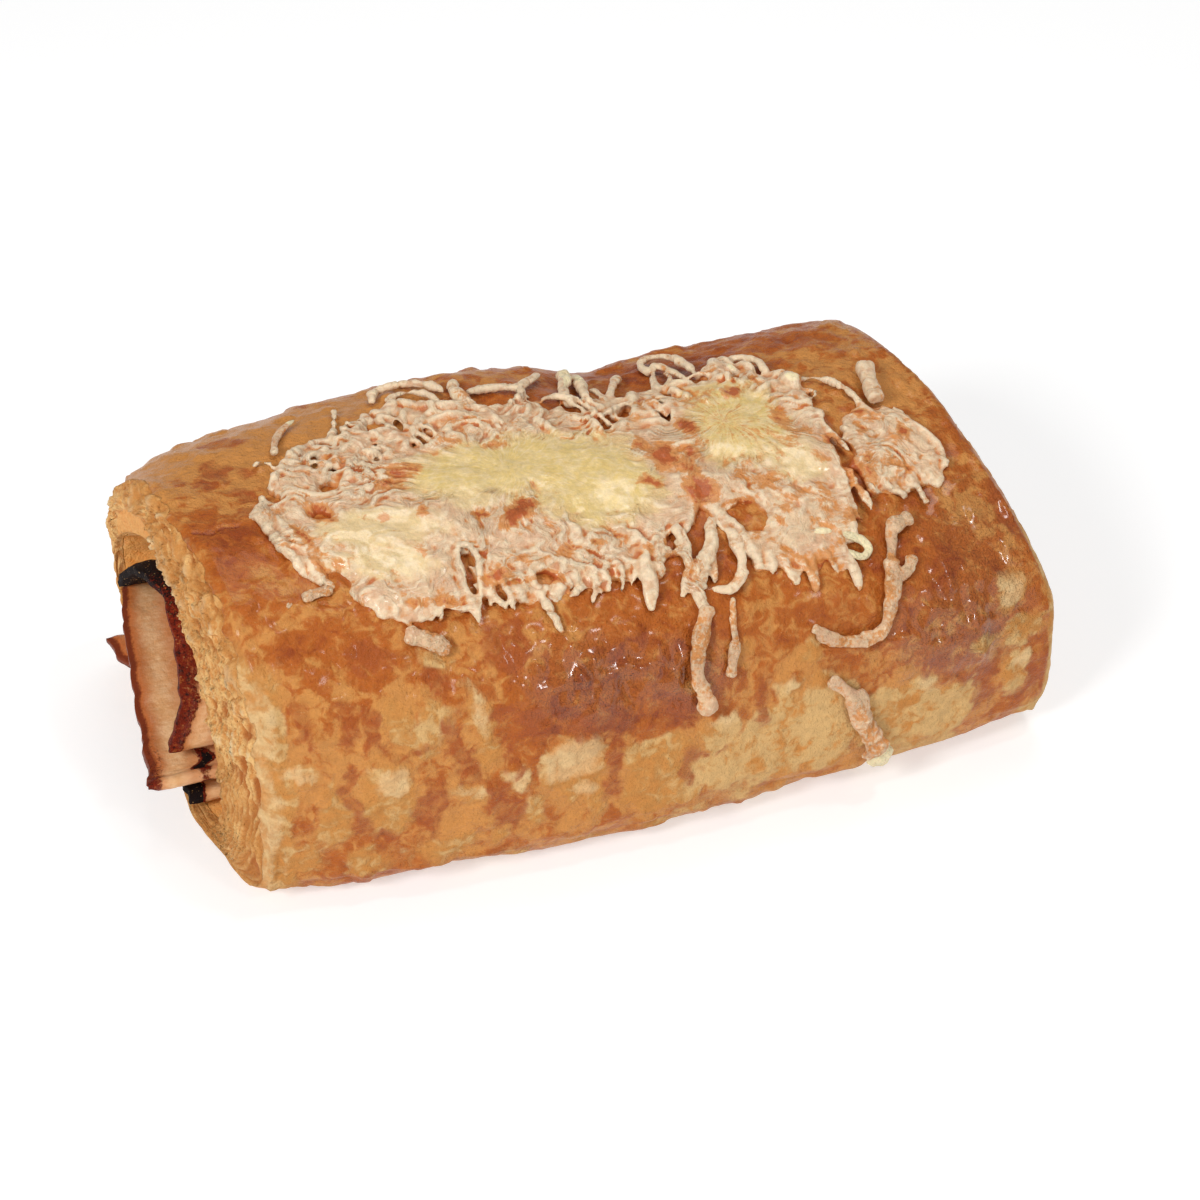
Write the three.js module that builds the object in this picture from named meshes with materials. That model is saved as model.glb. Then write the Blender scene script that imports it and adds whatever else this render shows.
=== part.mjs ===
// Ham and cheese pastry: a roll of puff pastry, open at both ends, round three slices of ham,
// with melted grated cheese baked onto the top. Millimetres, +Z up. The roll lies along X with
// the side that slopes away to the front at -Y, and stands on its flat foot at Z = 0.
import * as THREE from 'three';

// ---------------------------------------------------------------- driving sizes
const LENGTH = 130;                 // dough from end to end along its middle
const HALF = LENGTH / 2;

// Outer section of the dough, each at the left end, the middle and the right end
const FRONT = [35.5, 41.1, 36.5];   // widest point in front of the middle line
const BACK = [36, 37.5, 37.5];      // widest point behind the middle line
const HEIGHT = [52, 48.5, 46.5];    // crown above the foot
const CROWN = [4.5, 2.5, 6];        // crown behind the middle line
const FRONT_ROUND = [2.8, 2.6, 1.6];    // superellipse power of the top front, 2 is round
const BACK_ROUND = [1.75, 4.4, 2.1];     // the same of the top back
const FRONT_WAIST = [0.33, 0.37, 0.57]; // height of the widest point, as a share of HEIGHT
const BACK_WAIST = [0.37, 0.66, 0.74];
const FOOT_ROUND = 5;               // superellipse power of the corners at the foot
const FOOT_FLAT = 0.6;              // the section reaches this far below the foot and is cut flat

// Ends of the roll
const SKEW = [3.3, 4];              // the ends lean this far along X at 35 mm from the middle line
const SKEW_AT = 35;
const HOLLOW_RIGHT = 1;             // the right end is drawn in at its middle
const TWIST_LEFT = 1.4;             // the left end leans out at its top back and foot front
const SLOPE_RIGHT = 1.1;            // the right end stands out at the foot
const MID_HEIGHT = 25;
const HEART_HEIGHT = 20;            // height that the crust faces away from, all round
const LIP = { out: 2.2, y: -8, wide: 12, high: 12 };    // bottom layer standing out at the left end
const FACE_SWELL = 0.8;             // the cut face bulges between its outer and inner edge
const EDGE_ROUND = 2;               // rounding where the side turns into the cut face
// Rings of a cut face: distance from the middle of the roll, share of the way from the outer
// edge to the passage
const FACE_RINGS = [[HALF - 0.3 * EDGE_ROUND, 0.03], [HALF, 0.12], [HALF + 0.8 * FACE_SWELL, 0.32],
  [HALF + FACE_SWELL, 0.6], [HALF + 0.3, 0.93]];

// Swellings and dips of the crust: place along X, place round the section from the crown
// (positive to the front), reach along X, reach round the section, height
const SWELLS = [
  { x: 27, s: -27, wide: 20, deep: 16, rise: -3.2 },    // sag of the back shoulder
  { x: 13, s: -27, wide: 9, deep: 14, rise: -2.6 },
  { x: -40, s: 48, wide: 16, deep: 12, rise: 0.7 },
  { x: 30, s: 52, wide: 18, deep: 14, rise: -0.8 },
];
const SWELL_FADE = 8;               // swellings fade out this far above the foot

// Passage through the dough, from its top round the front, bottom and back. The wide loop is
// the torn mouth at the left end, the narrow one is where the ham fills it.
const MOUTH = [[7, 40.5], [1, 38], [-4, 33], [-9, 25.5], [-13, 18.5], [-16, 11], [-16.5, 5.5],
  [-13, 3], [0, 2.6], [15, 2.8], [27, 4.5], [32.5, 8.5], [34.5, 15], [34, 22], [31, 27],
  [24, 32.5], [15, 37.5]];
const SLOT = [[7, 17.4], [2, 17], [-3, 16.5], [-8, 16], [-13, 15.2], [-15.6, 12.5], [-15.6, 8],
  [-13, 5.2], [0, 6], [15, 7.4], [27, 8.4], [31.4, 9.8], [32.4, 13], [31.6, 16.8], [29, 18.8],
  [22, 18.8], [15, 18.2]];
const FLARE_LEFT = { deep: 22, open: 1 };       // depth of the flare, and its share of MOUTH
const FLARE_RIGHT = { deep: 16, open: 0.4 };
const PASSAGE_STATIONS = [64, 61, 57, 53, 49, 30, 0, -25, -43, -47, -51, -55, -58, -61, -64];

// Ham slices, each a sheet that runs right through: section line at the mouth and in the slot,
// from the back edge to the front edge, and how far it stands out at either end
const HAM_THICK = 2;
const HAM_STATIONS = [-64, -61, -58, -55, -51, -47, -43, -25, 0, 30, 49, 53, 57, 61];
const HAM = {
  ham_upper: {
    mouth: [[27.5, 22.6], [22, 27.5], [14, 33], [6, 35.2], [-1, 32.2], [-6, 26], [-8.8, 19.5],
      [-9.6, 14.4]],
    slot: [[28, 16.9], [22, 16.6], [15, 16.1], [8, 15.5], [1, 15], [-4, 14.5], [-8, 14.2],
      [-12, 13.7]],
    left: v => 0.8 + 5 * Math.max(0, (v - 0.55) / 0.45) ** 1.3,
    right: v => 1.2 + 1.2 * Math.sin(3 * v),
    color: 0x9a4a30,
  },
  ham_lower: {
    mouth: [[28.5, 19.3], [22, 18.3], [15, 16.6], [8, 14.6], [1, 12.8], [-5, 11.3], [-10.5, 10.3],
      [-13.6, 11.6]],
    slot: [[29, 14.3], [23, 14], [16, 13.5], [9, 12.9], [2, 12.4], [-4, 11.8], [-9, 11.4],
      [-13.4, 11]],
    left: v => 10.5 * v ** 0.55,
    right: v => 3.2 - 1.4 * v,
    color: 0xd99a72,
  },
  ham_under: {
    mouth: [[26, 10.6], [20, 10], [14, 9.1], [8, 8.1], [2, 7.2], [-4, 6.4], [-8, 5.8], [-12, 5.4]],
    slot: [[29.5, 11.7], [23, 11.4], [16, 10.9], [9, 10.3], [2, 9.8], [-4, 9.2], [-9, 8.8],
      [-13.2, 8.3]],
    left: v => 3.2 - 5.6 * v + 5.4 * v * v,
    right: v => 1.8 + 0.8 * v,
    color: 0x8a3f2a,
  },
};

// Melted cheese on the crust, with places along X and round the section from the crown. Each
// patch is thick in its middle and falls off to its rim, by these powers along and across.
const CHEESE_GAP = 0.4;             // clear of the crust
const FALL_ALONG = 6;
const FALL_ACROSS = 4;
const MELT = {
  from: -54, to: 41.5,
  back: [[-54, 5], [-50, -1], [-45, -7], [-38, -14], [-30, -17], [-20, -19.5], [-8, -20.5],
    [2, -19.5], [12, -16.5], [24, -15.5], [34, -14.5], [38.5, -9], [41.5, 2]],
  front: [[-54, 11], [-51, 19], [-45, 26.5], [-38, 29.5], [-25, 30.5], [-10, 31.5], [2, 33],
    [12, 32], [20, 35], [30, 37], [36, 33], [39.5, 22], [41.5, 10]],
  rim: 0.9, thick: 2.2, columns: 30, rows: 8, color: 0xead7a0,
};
const PATCH = {
  from: 43.5, to: 58,
  back: [[43.5, 12], [45.5, 3], [50, -1.5], [55, 1], [58, 12]],
  front: [[43.5, 17], [45.5, 23.5], [50, 25.5], [55, 23.5], [58, 17]],
  rim: 0.8, thick: 1.8, columns: 8, rows: 6, color: 0xdfc3a4,
};
const STRANDS = {                   // radius, then places along the strand
  cheese_strand_bent: [1.15, [45.5, 30], [42, 30.8], [40, 35.8], [38.5, 40.7], [35, 46.4],
    [29.5, 46.2], [24.5, 44.4]],
  cheese_strand_pointed: [1.3, [26, 52.4], [30, 55.5], [32, 60.9], [34, 66.5], [35.2, 69.5]],
  cheese_drip_long: [1.35, [8.6, 38], [6, 42.4], [5, 46.2], [6, 52.9]],
  cheese_drip_thin: [0.9, [13.2, 37], [12, 43.2], [10, 48.2]],
  cheese_strand_upper_left: [0.75, [-38.5, -17.8], [-42, -13.2], [-45, -9.8]],
  cheese_crumb_oval: [1.2, [-38.5, 34], [-35.6, 35.2], [-32.5, 37.4]],
};

// Fineness of the faceted solids
const RING = 52;                    // points round the dough
const SECTION = 480;                // points of a section before it is spaced evenly
const OUTER_STEPS = 26;             // lengths of the outside along the roll
const PROFILE_POINTS = 12;          // points for each given place of a cheese edge
const HAM_POINTS = 12;
const STRAND_SIDES = 7;
const STRAND_STEPS = 3;             // lengths between two places of a strand

// ---------------------------------------------------------------- helpers
const clamp = (v, lo, hi) => Math.min(hi, Math.max(lo, v));
const mix = (a, b, w) => a + (b - a) * w;
const smooth = w => { const c = clamp(w, 0, 1); return c * c * (3 - 2 * c); };
const bell = v => Math.exp(-v * v);

/** Smooth value along the roll, u = -1 at the left end and 1 at the right end. */
const along = ([left, middle, right], u) =>
  middle + (right - left) / 2 * u + (left + right - 2 * middle) / 2 * u * u;

/** Smooth height over X through a list of [x, value]. */
function profile(points) {
  const curve = new THREE.SplineCurve(points.map(([x, v]) => new THREE.Vector2(x, v)));
  const fine = curve.getPoints(points.length * PROFILE_POINTS);
  return x => {
    const i = clamp(fine.findIndex(p => p.x >= x), 1, fine.length - 1);
    const [a, b] = [fine[i - 1], fine[i]];
    return mix(a.y, b.y, clamp((x - a.x) / Math.max(b.x - a.x, 1e-6), 0, 1));
  };
}

/** One closed body from corner points and triangles, turned so that its faces point out. */
function solid(name, color, vertices, faces) {
  const points = vertices.map(v => new THREE.Vector3(...v));
  const volume = faces.reduce((sum, [a, b, c]) =>
    sum + points[a].dot(new THREE.Vector3().crossVectors(points[b], points[c])), 0);
  const outward = volume > 0 ? faces : faces.map(([a, b, c]) => [a, c, b]);
  const geometry = new THREE.BufferGeometry();
  geometry.setAttribute('position', new THREE.Float32BufferAttribute(vertices.flat(), 3));
  geometry.setIndex(outward.flat());
  geometry.computeVertexNormals();
  const mesh = new THREE.Mesh(geometry,
    new THREE.MeshStandardMaterial({ color, roughness: 0.5, metalness: 0 }));
  mesh.name = name;
  return mesh;
}

/** Two triangles for each cell between rows i and j of n points; closed runs round the row. */
function strip(i, j, n, closed) {
  const faces = [];
  for (let k = 0; k < (closed ? n : n - 1); k++) {
    const m = (k + 1) % n;
    faces.push([i * n + k, j * n + k, j * n + m], [i * n + k, j * n + m, i * n + m]);
  }
  return faces;
}

// ---------------------------------------------------------------- dough surface
/** Leans and bows the ends of the roll: place along the roll to true X. */
function lean(x, y, z) {
  const u = clamp(x / HALF, -1, 1);
  const nearLeft = ((1 - u) / 2) ** 3;
  const nearRight = ((1 + u) / 2) ** 3;
  const q = y / SKEW_AT;
  const lip = LIP.out * bell((y - LIP.y) / LIP.wide) * clamp(1 - z / LIP.high, 0, 1);
  const up = z / MID_HEIGHT - 1;
  return x - nearLeft * (SKEW[0] * q + lip + TWIST_LEFT * q * up)
    - nearRight * (SKEW[1] * q + HOLLOW_RIGHT * (1 - q * q) + SLOPE_RIGHT * up);
}

const sections = new Map();
/** Closed outer section at x, from the crown round the front, the foot and the back. */
function section(x) {
  if (sections.has(x)) return sections.get(x);
  const u = clamp(x / HALF, -1, 1);
  const [crown, height] = [along(CROWN, u), along(HEIGHT, u)];
  const bare = [];
  for (let k = 0; k <= SECTION; k++) {
    const t = Math.PI / 2 - 2 * Math.PI * k / SECTION;
    const [c, s] = [Math.cos(t), Math.sin(t)];
    const inFront = c >= 0;
    const onTop = s >= -1e-9;
    const waist = along(inFront ? FRONT_WAIST : BACK_WAIST, u) * height;
    const power = 2 / (onTop ? along(inFront ? FRONT_ROUND : BACK_ROUND, u) : FOOT_ROUND);
    const reach = inFront ? crown + along(FRONT, u) : along(BACK, u) - crown;
    const dy = reach * Math.abs(c) ** power;
    const dz = (onTop ? height - waist : waist + FOOT_FLAT) * Math.abs(s) ** power;
    bare.push([inFront ? crown - dy : crown + dy, onTop ? waist + dz : Math.max(waist - dz, 0)]);
  }
  const lengths = [0];
  for (let k = 1; k <= SECTION; k++) {
    lengths.push(lengths[k - 1] + Math.hypot(bare[k][0] - bare[k - 1][0], bare[k][1] - bare[k - 1][1]));
  }
  const total = lengths[SECTION];
  const points = bare.map(([y, z], k) => {
    const [before, after] = [bare[(k + SECTION - 1) % SECTION], bare[(k + 1) % SECTION]];
    const [ty, tz] = [after[0] - before[0], after[1] - before[1]];
    const size = Math.max(Math.hypot(ty, tz), 1e-9);
    const s = lengths[k] > total / 2 ? lengths[k] - total : lengths[k];
    const rise = clamp(z / SWELL_FADE, 0, 1) * SWELLS.reduce((sum, w) =>
      sum + w.rise * bell((x - w.x) / w.wide) * bell((s - w.s) / w.deep), 0);
    return [y + rise * tz / size, Math.max(z - rise * ty / size, 0)];
  });
  sections.set(x, { points, lengths, total });
  return sections.get(x);
}

/** Point of a section at arc length s from the crown, positive to the front. */
function atLength({ points, lengths, total }, s) {
  const w = ((s % total) + total) % total;
  let lo = 0;
  let hi = SECTION;
  while (hi - lo > 1) {
    const mid = (lo + hi) >> 1;
    if (lengths[mid] <= w) lo = mid; else hi = mid;
  }
  const f = (w - lengths[lo]) / Math.max(lengths[hi] - lengths[lo], 1e-9);
  return [mix(points[lo][0], points[hi][0], f), mix(points[lo][1], points[hi][1], f)];
}

/** Point at height h over the crust, at x along the roll and s round it. */
function onCrust(x, s, h) {
  const at = (px, ps) => {
    const [y, z] = atLength(section(px), ps);
    return new THREE.Vector3(lean(px, y, z), y, z);
  };
  const point = at(x, s);
  const alongRoll = at(x + 1, s).sub(at(x - 1, s));
  const roundRoll = at(x, s + 1).sub(at(x, s - 1));
  const normal = roundRoll.cross(alongRoll).normalize();
  if (normal.dot(new THREE.Vector3(0, point.y, point.z - HEART_HEIGHT)) < 0) normal.negate();
  return point.addScaledVector(normal, h);
}

const outerRing = x => {
  const ring = section(x);
  return Array.from({ length: RING }, (_, k) => atLength(ring, ring.total * k / RING));
};

/** How far the passage is opened at x: 1 is MOUTH, 0 is SLOT. */
function opening(x) {
  const flare = x < 0 ? FLARE_LEFT : FLARE_RIGHT;
  return flare.open * smooth(1 - (HALF - Math.abs(x)) / flare.deep);
}

function passageRing(x) {
  const w = opening(x);
  const loop = new THREE.CatmullRomCurve3(
    SLOT.map(([y, z], k) => new THREE.Vector3(mix(y, MOUTH[k][0], w), mix(z, MOUTH[k][1], w), 0)),
    true, 'catmullrom', 0.5);
  return Array.from({ length: RING }, (_, k) => {
    const p = loop.getPoint(k / RING);
    return [p.x, p.y];
  });
}

/** Dough: outer rings, the right face, the passage back to the left, and the left face. */
function pastry() {
  const rows = [];
  const add = (x, ring) => rows.push(ring.map(([y, z]) => [lean(x, y, z), y, z]));
  const between = (a, b, w) => a.map(([y, z], k) => [mix(y, b[k][0], w), mix(z, b[k][1], w)]);

  const last = HALF - EDGE_ROUND;
  for (let i = 0; i <= OUTER_STEPS; i++) {
    const x = mix(-last, last, i / OUTER_STEPS);
    add(x, outerRing(x));
  }
  const face = side => {
    const outer = outerRing(side * HALF);
    const inner = passageRing(side * HALF);
    return FACE_RINGS.map(([x, w]) => [side * x, between(outer, inner, w)]);
  };
  for (const [x, ring] of face(1)) add(x, ring);
  for (const x of PASSAGE_STATIONS) add(x, passageRing(x));
  for (const [x, ring] of face(-1).reverse()) add(x, ring);

  const faces = rows.flatMap((_, i) => strip(i, (i + 1) % rows.length, RING, true));
  return solid('pastry', 0xc8823c, rows.flat(), faces);
}

/** Ham slice: a sheet that follows the passage and stands out past both ends. */
function ham(name, { mouth, slot, left, right, color }) {
  const rowAt = (x, edge) => {
    const w = opening(clamp(x, -HALF, HALF));
    const line = new THREE.SplineCurve(slot.map(([y, z], k) =>
      new THREE.Vector2(mix(y, mouth[k][0], w), mix(z, mouth[k][1], w))));
    const middle = Array.from({ length: HAM_POINTS }, (_, k) => k / (HAM_POINTS - 1));
    const sides = [1, -1].map(side => middle.map(v => {
      const p = line.getPoint(v);
      const t = line.getTangent(v);
      const offset = side * HAM_THICK / 2;
      const [y, z] = [p.x + offset * t.y, p.y - offset * t.x];
      return [lean(x, y, z) + (edge ? edge(v) : 0), y, z];
    }));
    return [...sides[0], ...sides[1].reverse()];
  };
  const rows = [
    rowAt(-HALF, v => -left(v)),
    ...HAM_STATIONS.map(x => rowAt(x)),
    rowAt(HALF, right),
  ];
  const n = 2 * HAM_POINTS;
  const faces = rows.slice(1).flatMap((_, i) => strip(i, i + 1, n, true));
  for (const [row, flip] of [[0, false], [rows.length - 1, true]]) {
    for (let k = 0; k < HAM_POINTS - 1; k++) {
      const [a, b, c, d] = [k, k + 1, n - 2 - k, n - 1 - k].map(v => row * n + v);
      faces.push(...(flip ? [[a, c, b], [a, d, c]] : [[a, b, c], [a, c, d]]));
    }
  }
  return solid(name, color, rows.flat(), faces);
}

/** Melted cheese: a patch that lies over the crust between a back and a front edge. */
function melt(name, { from, to, back, front, rim, thick, columns, rows, color }) {
  const [backEdge, frontEdge] = [profile(back), profile(front)];
  const layers = [0, 1].map(layer => {
    const points = [];
    for (let i = 0; i <= columns; i++) {
      const u = -Math.cos(Math.PI * i / columns);
      const x = mix(from, to, (u + 1) / 2);
      for (let j = 0; j <= rows; j++) {
        const v = 2 * j / rows - 1;
        const s = mix(backEdge(x), frontEdge(x), (v + 1) / 2);
        const swell = Math.sqrt(
          Math.max(0, 1 - v ** FALL_ACROSS) * Math.max(0, 1 - u ** FALL_ALONG));
        const height = CHEESE_GAP + layer * (rim + (thick - rim) * swell);
        points.push(onCrust(x, s, height).toArray());
      }
    }
    return points;
  });
  const [width, count] = [rows + 1, (columns + 1) * (rows + 1)];
  const faces = [];
  for (let i = 0; i < columns; i++) {
    faces.push(...strip(i, i + 1, width, false));
    faces.push(...strip(i, i + 1, width, false).map(f => f.map(v => v + count).reverse()));
    for (const j of [0, rows]) {
      const [a, b] = [i * width + j, (i + 1) * width + j];
      const wall = [[a, a + count, b + count], [a, b + count, b]];
      faces.push(...(j === 0 ? wall : wall.map(f => f.reverse())));
    }
  }
  for (const i of [0, columns]) {
    for (let j = 0; j < rows; j++) {
      const [a, b] = [i * width + j, i * width + j + 1];
      const wall = [[a, b, b + count], [a, b + count, a + count]];
      faces.push(...(i === 0 ? wall : wall.map(f => f.reverse())));
    }
  }
  return solid(name, color, layers.flat(), faces);
}

/** Strand of cheese: a round bar laid along the crust. */
function strand(name, [radius, ...places]) {
  const path = new THREE.CatmullRomCurve3(
    places.map(([x, s]) => onCrust(x, s, radius + CHEESE_GAP)), false, 'centripetal');
  const round = new THREE.Shape(Array.from({ length: STRAND_SIDES }, (_, k) => {
    const turn = 2 * Math.PI * k / STRAND_SIDES;
    return new THREE.Vector2(radius * Math.cos(turn), radius * Math.sin(turn));
  }));
  const geometry = new THREE.ExtrudeGeometry(round,
    { steps: STRAND_STEPS * (places.length - 1), bevelEnabled: false, extrudePath: path });
  const mesh = new THREE.Mesh(geometry,
    new THREE.MeshStandardMaterial({ color: 0xdcb89c, roughness: 0.45, metalness: 0 }));
  mesh.name = name;
  return mesh;
}

// ---------------------------------------------------------------- the whole pastry
const food = new THREE.Group();
food.add(pastry());
for (const [name, slice] of Object.entries(HAM)) food.add(ham(name, slice));
food.add(melt('cheese_melt', MELT));
food.add(melt('cheese_patch_right', PATCH));
for (const [name, line] of Object.entries(STRANDS)) food.add(strand(name, line));

// The origin is the middle of the foot of the box round the whole pastry
const box = new THREE.Box3().setFromObject(food);
const centre = box.getCenter(new THREE.Vector3());
food.position.set(-centre.x, -centre.y, -box.min.z);

const part = new THREE.Group();
part.add(food);
export default part;
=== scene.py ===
"""Ham and cheese pastry: a roll of puff pastry, open at both ends, round three ham slices,
with grated cheese melted onto its glazed top."""
import functools
import math

import bpy
import numpy as np
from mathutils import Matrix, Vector


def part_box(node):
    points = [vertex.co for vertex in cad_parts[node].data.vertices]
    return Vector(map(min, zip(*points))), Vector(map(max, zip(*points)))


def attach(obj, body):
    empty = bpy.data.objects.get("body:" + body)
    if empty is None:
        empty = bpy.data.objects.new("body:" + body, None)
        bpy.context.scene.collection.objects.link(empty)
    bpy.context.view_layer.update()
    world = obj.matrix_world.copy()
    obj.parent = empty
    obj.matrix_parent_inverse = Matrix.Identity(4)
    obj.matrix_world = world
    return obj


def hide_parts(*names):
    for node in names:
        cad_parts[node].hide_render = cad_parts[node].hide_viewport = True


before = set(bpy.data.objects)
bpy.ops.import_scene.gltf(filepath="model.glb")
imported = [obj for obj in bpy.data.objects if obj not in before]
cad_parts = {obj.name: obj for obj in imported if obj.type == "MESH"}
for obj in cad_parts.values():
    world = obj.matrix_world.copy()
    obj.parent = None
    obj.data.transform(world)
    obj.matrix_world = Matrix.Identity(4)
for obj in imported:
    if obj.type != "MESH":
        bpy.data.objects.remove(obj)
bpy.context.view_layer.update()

bl_info = {
    "name": "Ham and Cheese Pastry",
    "version": (1, 0, 0),
    "blender": (4, 5, 0),
    "location": "3D View > Sidebar > Pastry",
    "description": "Builds a baked ham and cheese pastry around its packed solids",
    "category": "Add Mesh",
}

MM = 0.001

# ------------------------------------------------------------------ sizes of the roll, mm
LENGTH = 130
HALF = LENGTH / 2
FRONT = (35.5, 41.1, 36.5)          # at the left end, the middle and the right end
BACK = (36, 37.5, 37.5)
HEIGHT = (52, 48.5, 46.5)
CROWN = (4.5, 2.5, 6)
FRONT_ROUND = (2.8, 2.6, 1.6)
BACK_ROUND = (1.75, 4.4, 2.1)
FRONT_WAIST = (0.33, 0.37, 0.57)
BACK_WAIST = (0.37, 0.66, 0.74)
FOOT_ROUND = 5
FOOT_FLAT = 0.6
SKEW = (3.3, 4)
SKEW_AT = 35
HOLLOW_RIGHT = 1
TWIST_LEFT = 1.4
SLOPE_RIGHT = 1.1
MID_HEIGHT = 25
LIP_OUT, LIP_Y, LIP_WIDE, LIP_HIGH = 2.2, -8, 12, 12
EDGE_ROUND = 2
# place along X, place round the section from the crown, reach along, reach round, rise
SWELLS = ((27, -27, 20, 16, -3.2), (13, -27, 9, 14, -2.6), (-40, 48, 16, 12, 0.7),
          (30, 52, 18, 14, -0.8))
SWELL_FADE = 8
# Height of the line inside the roll that bearings are taken from, and how far off the
# neighbours lie that a normal is worked out from
CORE_HEIGHT = 20
NEAR = 0.7
# How finely the section and the bare crust are worked out
SECTION_POINTS, TABLE_STATIONS, TABLE_ROUND, TABLE_BEARINGS = 1440, 269, 900, 721

# The passage for the ham: torn mouth and narrow slot, from the top round the front
MOUTH = ((7, 40.5), (1, 38), (-4, 33), (-9, 25.5), (-13, 18.5), (-16, 11), (-16.5, 5.5),
         (-13, 3), (0, 2.6), (15, 2.8), (27, 4.5), (32.5, 8.5), (34.5, 15), (34, 22), (31, 27),
         (24, 32.5), (15, 37.5))
SLOT = ((7, 17.4), (2, 17), (-3, 16.5), (-8, 16), (-13, 15.2), (-15.6, 12.5), (-15.6, 8),
        (-13, 5.2), (0, 6), (15, 7.4), (27, 8.4), (31.4, 9.8), (32.4, 13), (31.6, 16.8),
        (29, 18.8), (22, 18.8), (15, 18.2))
FLARE_LEFT = (22, 1)
FLARE_RIGHT = (16, 0.4)

HAM_THICK = 2
HAM = {
    "ham_upper": {
        "mouth": ((27.2, 20.6), (22.5, 26), (14, 32.5), (6, 35.2), (-1, 32.2), (-6, 26),
                  (-8.8, 19.5), (-9.6, 14.4)),
        "slot": ((28, 16.9), (22, 16.6), (15, 16.1), (8, 15.5), (1, 15), (-4, 14.5),
                 (-8, 14.2), (-12, 13.7)),
        "left": lambda v: 1.2 + 1.2 * (1 - ramp(v, 0.2, 0.5)) + 4.6 * np.maximum(
            0, (v - 0.55) / 0.45) ** 1.3,
        "right": lambda v: 1.2 + 1.2 * np.sin(3 * v),
        "char": (1.2, 1.15, 0.95, 0.42, 0.45), "baked": (8.5, 2.6), "scorch": None,
    },
    "ham_lower": {
        "mouth": ((28.5, 19.3), (22, 18.3), (15, 16.6), (8, 14.6), (1, 12.8), (-5, 11.3),
                  (-10.5, 10.3), (-13.6, 11.6)),
        "slot": ((29, 14.3), (23, 14), (16, 13.5), (9, 12.9), (2, 12.4), (-4, 11.8),
                 (-9, 11.4), (-13.4, 11)),
        "left": lambda v: 10.5 * v ** 0.55,
        "right": lambda v: 3.2 - 1.4 * v,
        "char": (0.0, 0.0, 0.05, 0.2, 0.4), "baked": (3, 3), "scorch": (8.6, 0.87, 1.4),
    },
    "ham_under": {
        "mouth": ((26, 10.6), (20, 10), (14, 9.1), (8, 8.1), (2, 7.2), (-4, 6.4), (-8, 5.8),
                  (-12, 5.4)),
        "slot": ((29.5, 11.7), (23, 11.4), (16, 10.9), (9, 10.3), (2, 9.8), (-4, 9.2),
                 (-9, 8.8), (-13.2, 8.3)),
        "left": lambda v: 3.2 - 5.6 * v + 5.4 * v * v + 3 * (1 - ramp(v, 0.1, 0.24)),
        "right": lambda v: 1.8 + 0.8 * v,
        "char": (0.0, 0.1, 0.5, 0.8, 1.0), "baked": (3, 3), "scorch": None,
    },
}

# Film of melted cheese: its back and front edges over X, as places round the section
FILM_FROM, FILM_TO = -54, 43.4
FILM_BACK = ((-54, 7), (-50.6, 3), (-48, -1), (-44, -6), (-38, -10), (-34, -12), (-29, -15),
             (-24, -17.4), (-20, -17), (-15, -14.8), (-8, -12.8), (-2, -14), (4, -13.5),
             (10, -12.6), (16, -12.2), (22, -13.5), (28, -13), (32, -17), (37, -16), (40, -11.5),
             (43.4, -4))
FILM_FRONT = ((-54, 8.4), (-52.4, 14), (-51.3, 20), (-49.4, 23.6), (-46.5, 25.2), (-44, 28.4),
              (-38, 31), (-30, 31.8), (-22, 30.4), (-14, 31.4), (-4, 31.2), (2, 31.6),
              (7, 29), (12, 24), (14.6, 22), (17, 28), (20, 33.4), (26, 35.4), (32, 34.4),
              (37, 30.6), (40, 20), (42.4, 3), (43.4, -1.5))
# Places where the film has holes, and where it is pooled smooth and yellow: place, half
# width, half depth, turn
FILM_HOLES = (
    (-48.6, 3.4, 0.8, 2.0, 10), (-40.2, -4.6, 0.8, 1.4, 0), (-38.2, -2.6, 1.5, 1.1, -25),
    (-39.8, 2.3, 1.3, 0.7, -20), (-36.2, -8.4, 0.9, 0.7, 0), (-32.3, -11.8, 1.2, 1.0, 20),
    (-28, -6.3, 1.4, 0.9, 0), (-30, -3.6, 0.6, 1.2, 0), (-27.2, -12, 1.3, 1.4, 0),
    (-23, -11.2, 1.1, 0.9, 0), (-21.3, -7, 1.9, 0.8, -35), (-23.8, -13.9, 0.8, 1.0, 20),
    (5.3, -9.6, 1.6, 2.0, 0), (8.4, -3.6, 1.0, 1.7, 35), (12.6, -6.3, 0.8, 1.6, 35),
    (17.8, -4.6, 1.2, 2.8, 0), (28.6, -12, 1.0, 1.2, 0), (37.2, -15, 0.8, 0.8, 0),
    (38.8, -11.6, 0.8, 1.6, 0), (21, 23.6, 2.3, 2.6, -30), (9, 26.2, 2.2, 1.8, -20),
    (-45.4, 23.4, 0.8, 1.5, -25), (-25.2, 22.6, 0.9, 1.1, 0), (-26, 26.2, 0.8, 1.8, 0),
    (-22, 26.8, 1.4, 0.7, -10), (-14.4, 28.2, 1.4, 0.6, 0), (1.6, -11.8, 1.0, 0.8, 0),
    (32.6, -10.6, 0.7, 0.7, 0), (-43, 9.6, 0.9, 0.7, 0), (22.4, -8.6, 0.6, 1.6, -30))
FILM_POOLS = (
    (-9, 4.2, 15, 6.6, 0), (0.5, 11.5, 9, 8.4, 0), (-21, 5, 7, 4.6, 0), (28.4, 2.2, 7.4, 9, 12),
    (25.5, 8.6, 4.6, 4, 0))
PALE_POOLS = (
    (-36, 14.4, 9, 4.6, 0), (-38, 21, 7, 3.4, 0), (33, 15, 5, 4, 0), (-19, 11, 4, 2.6, 0))
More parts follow.
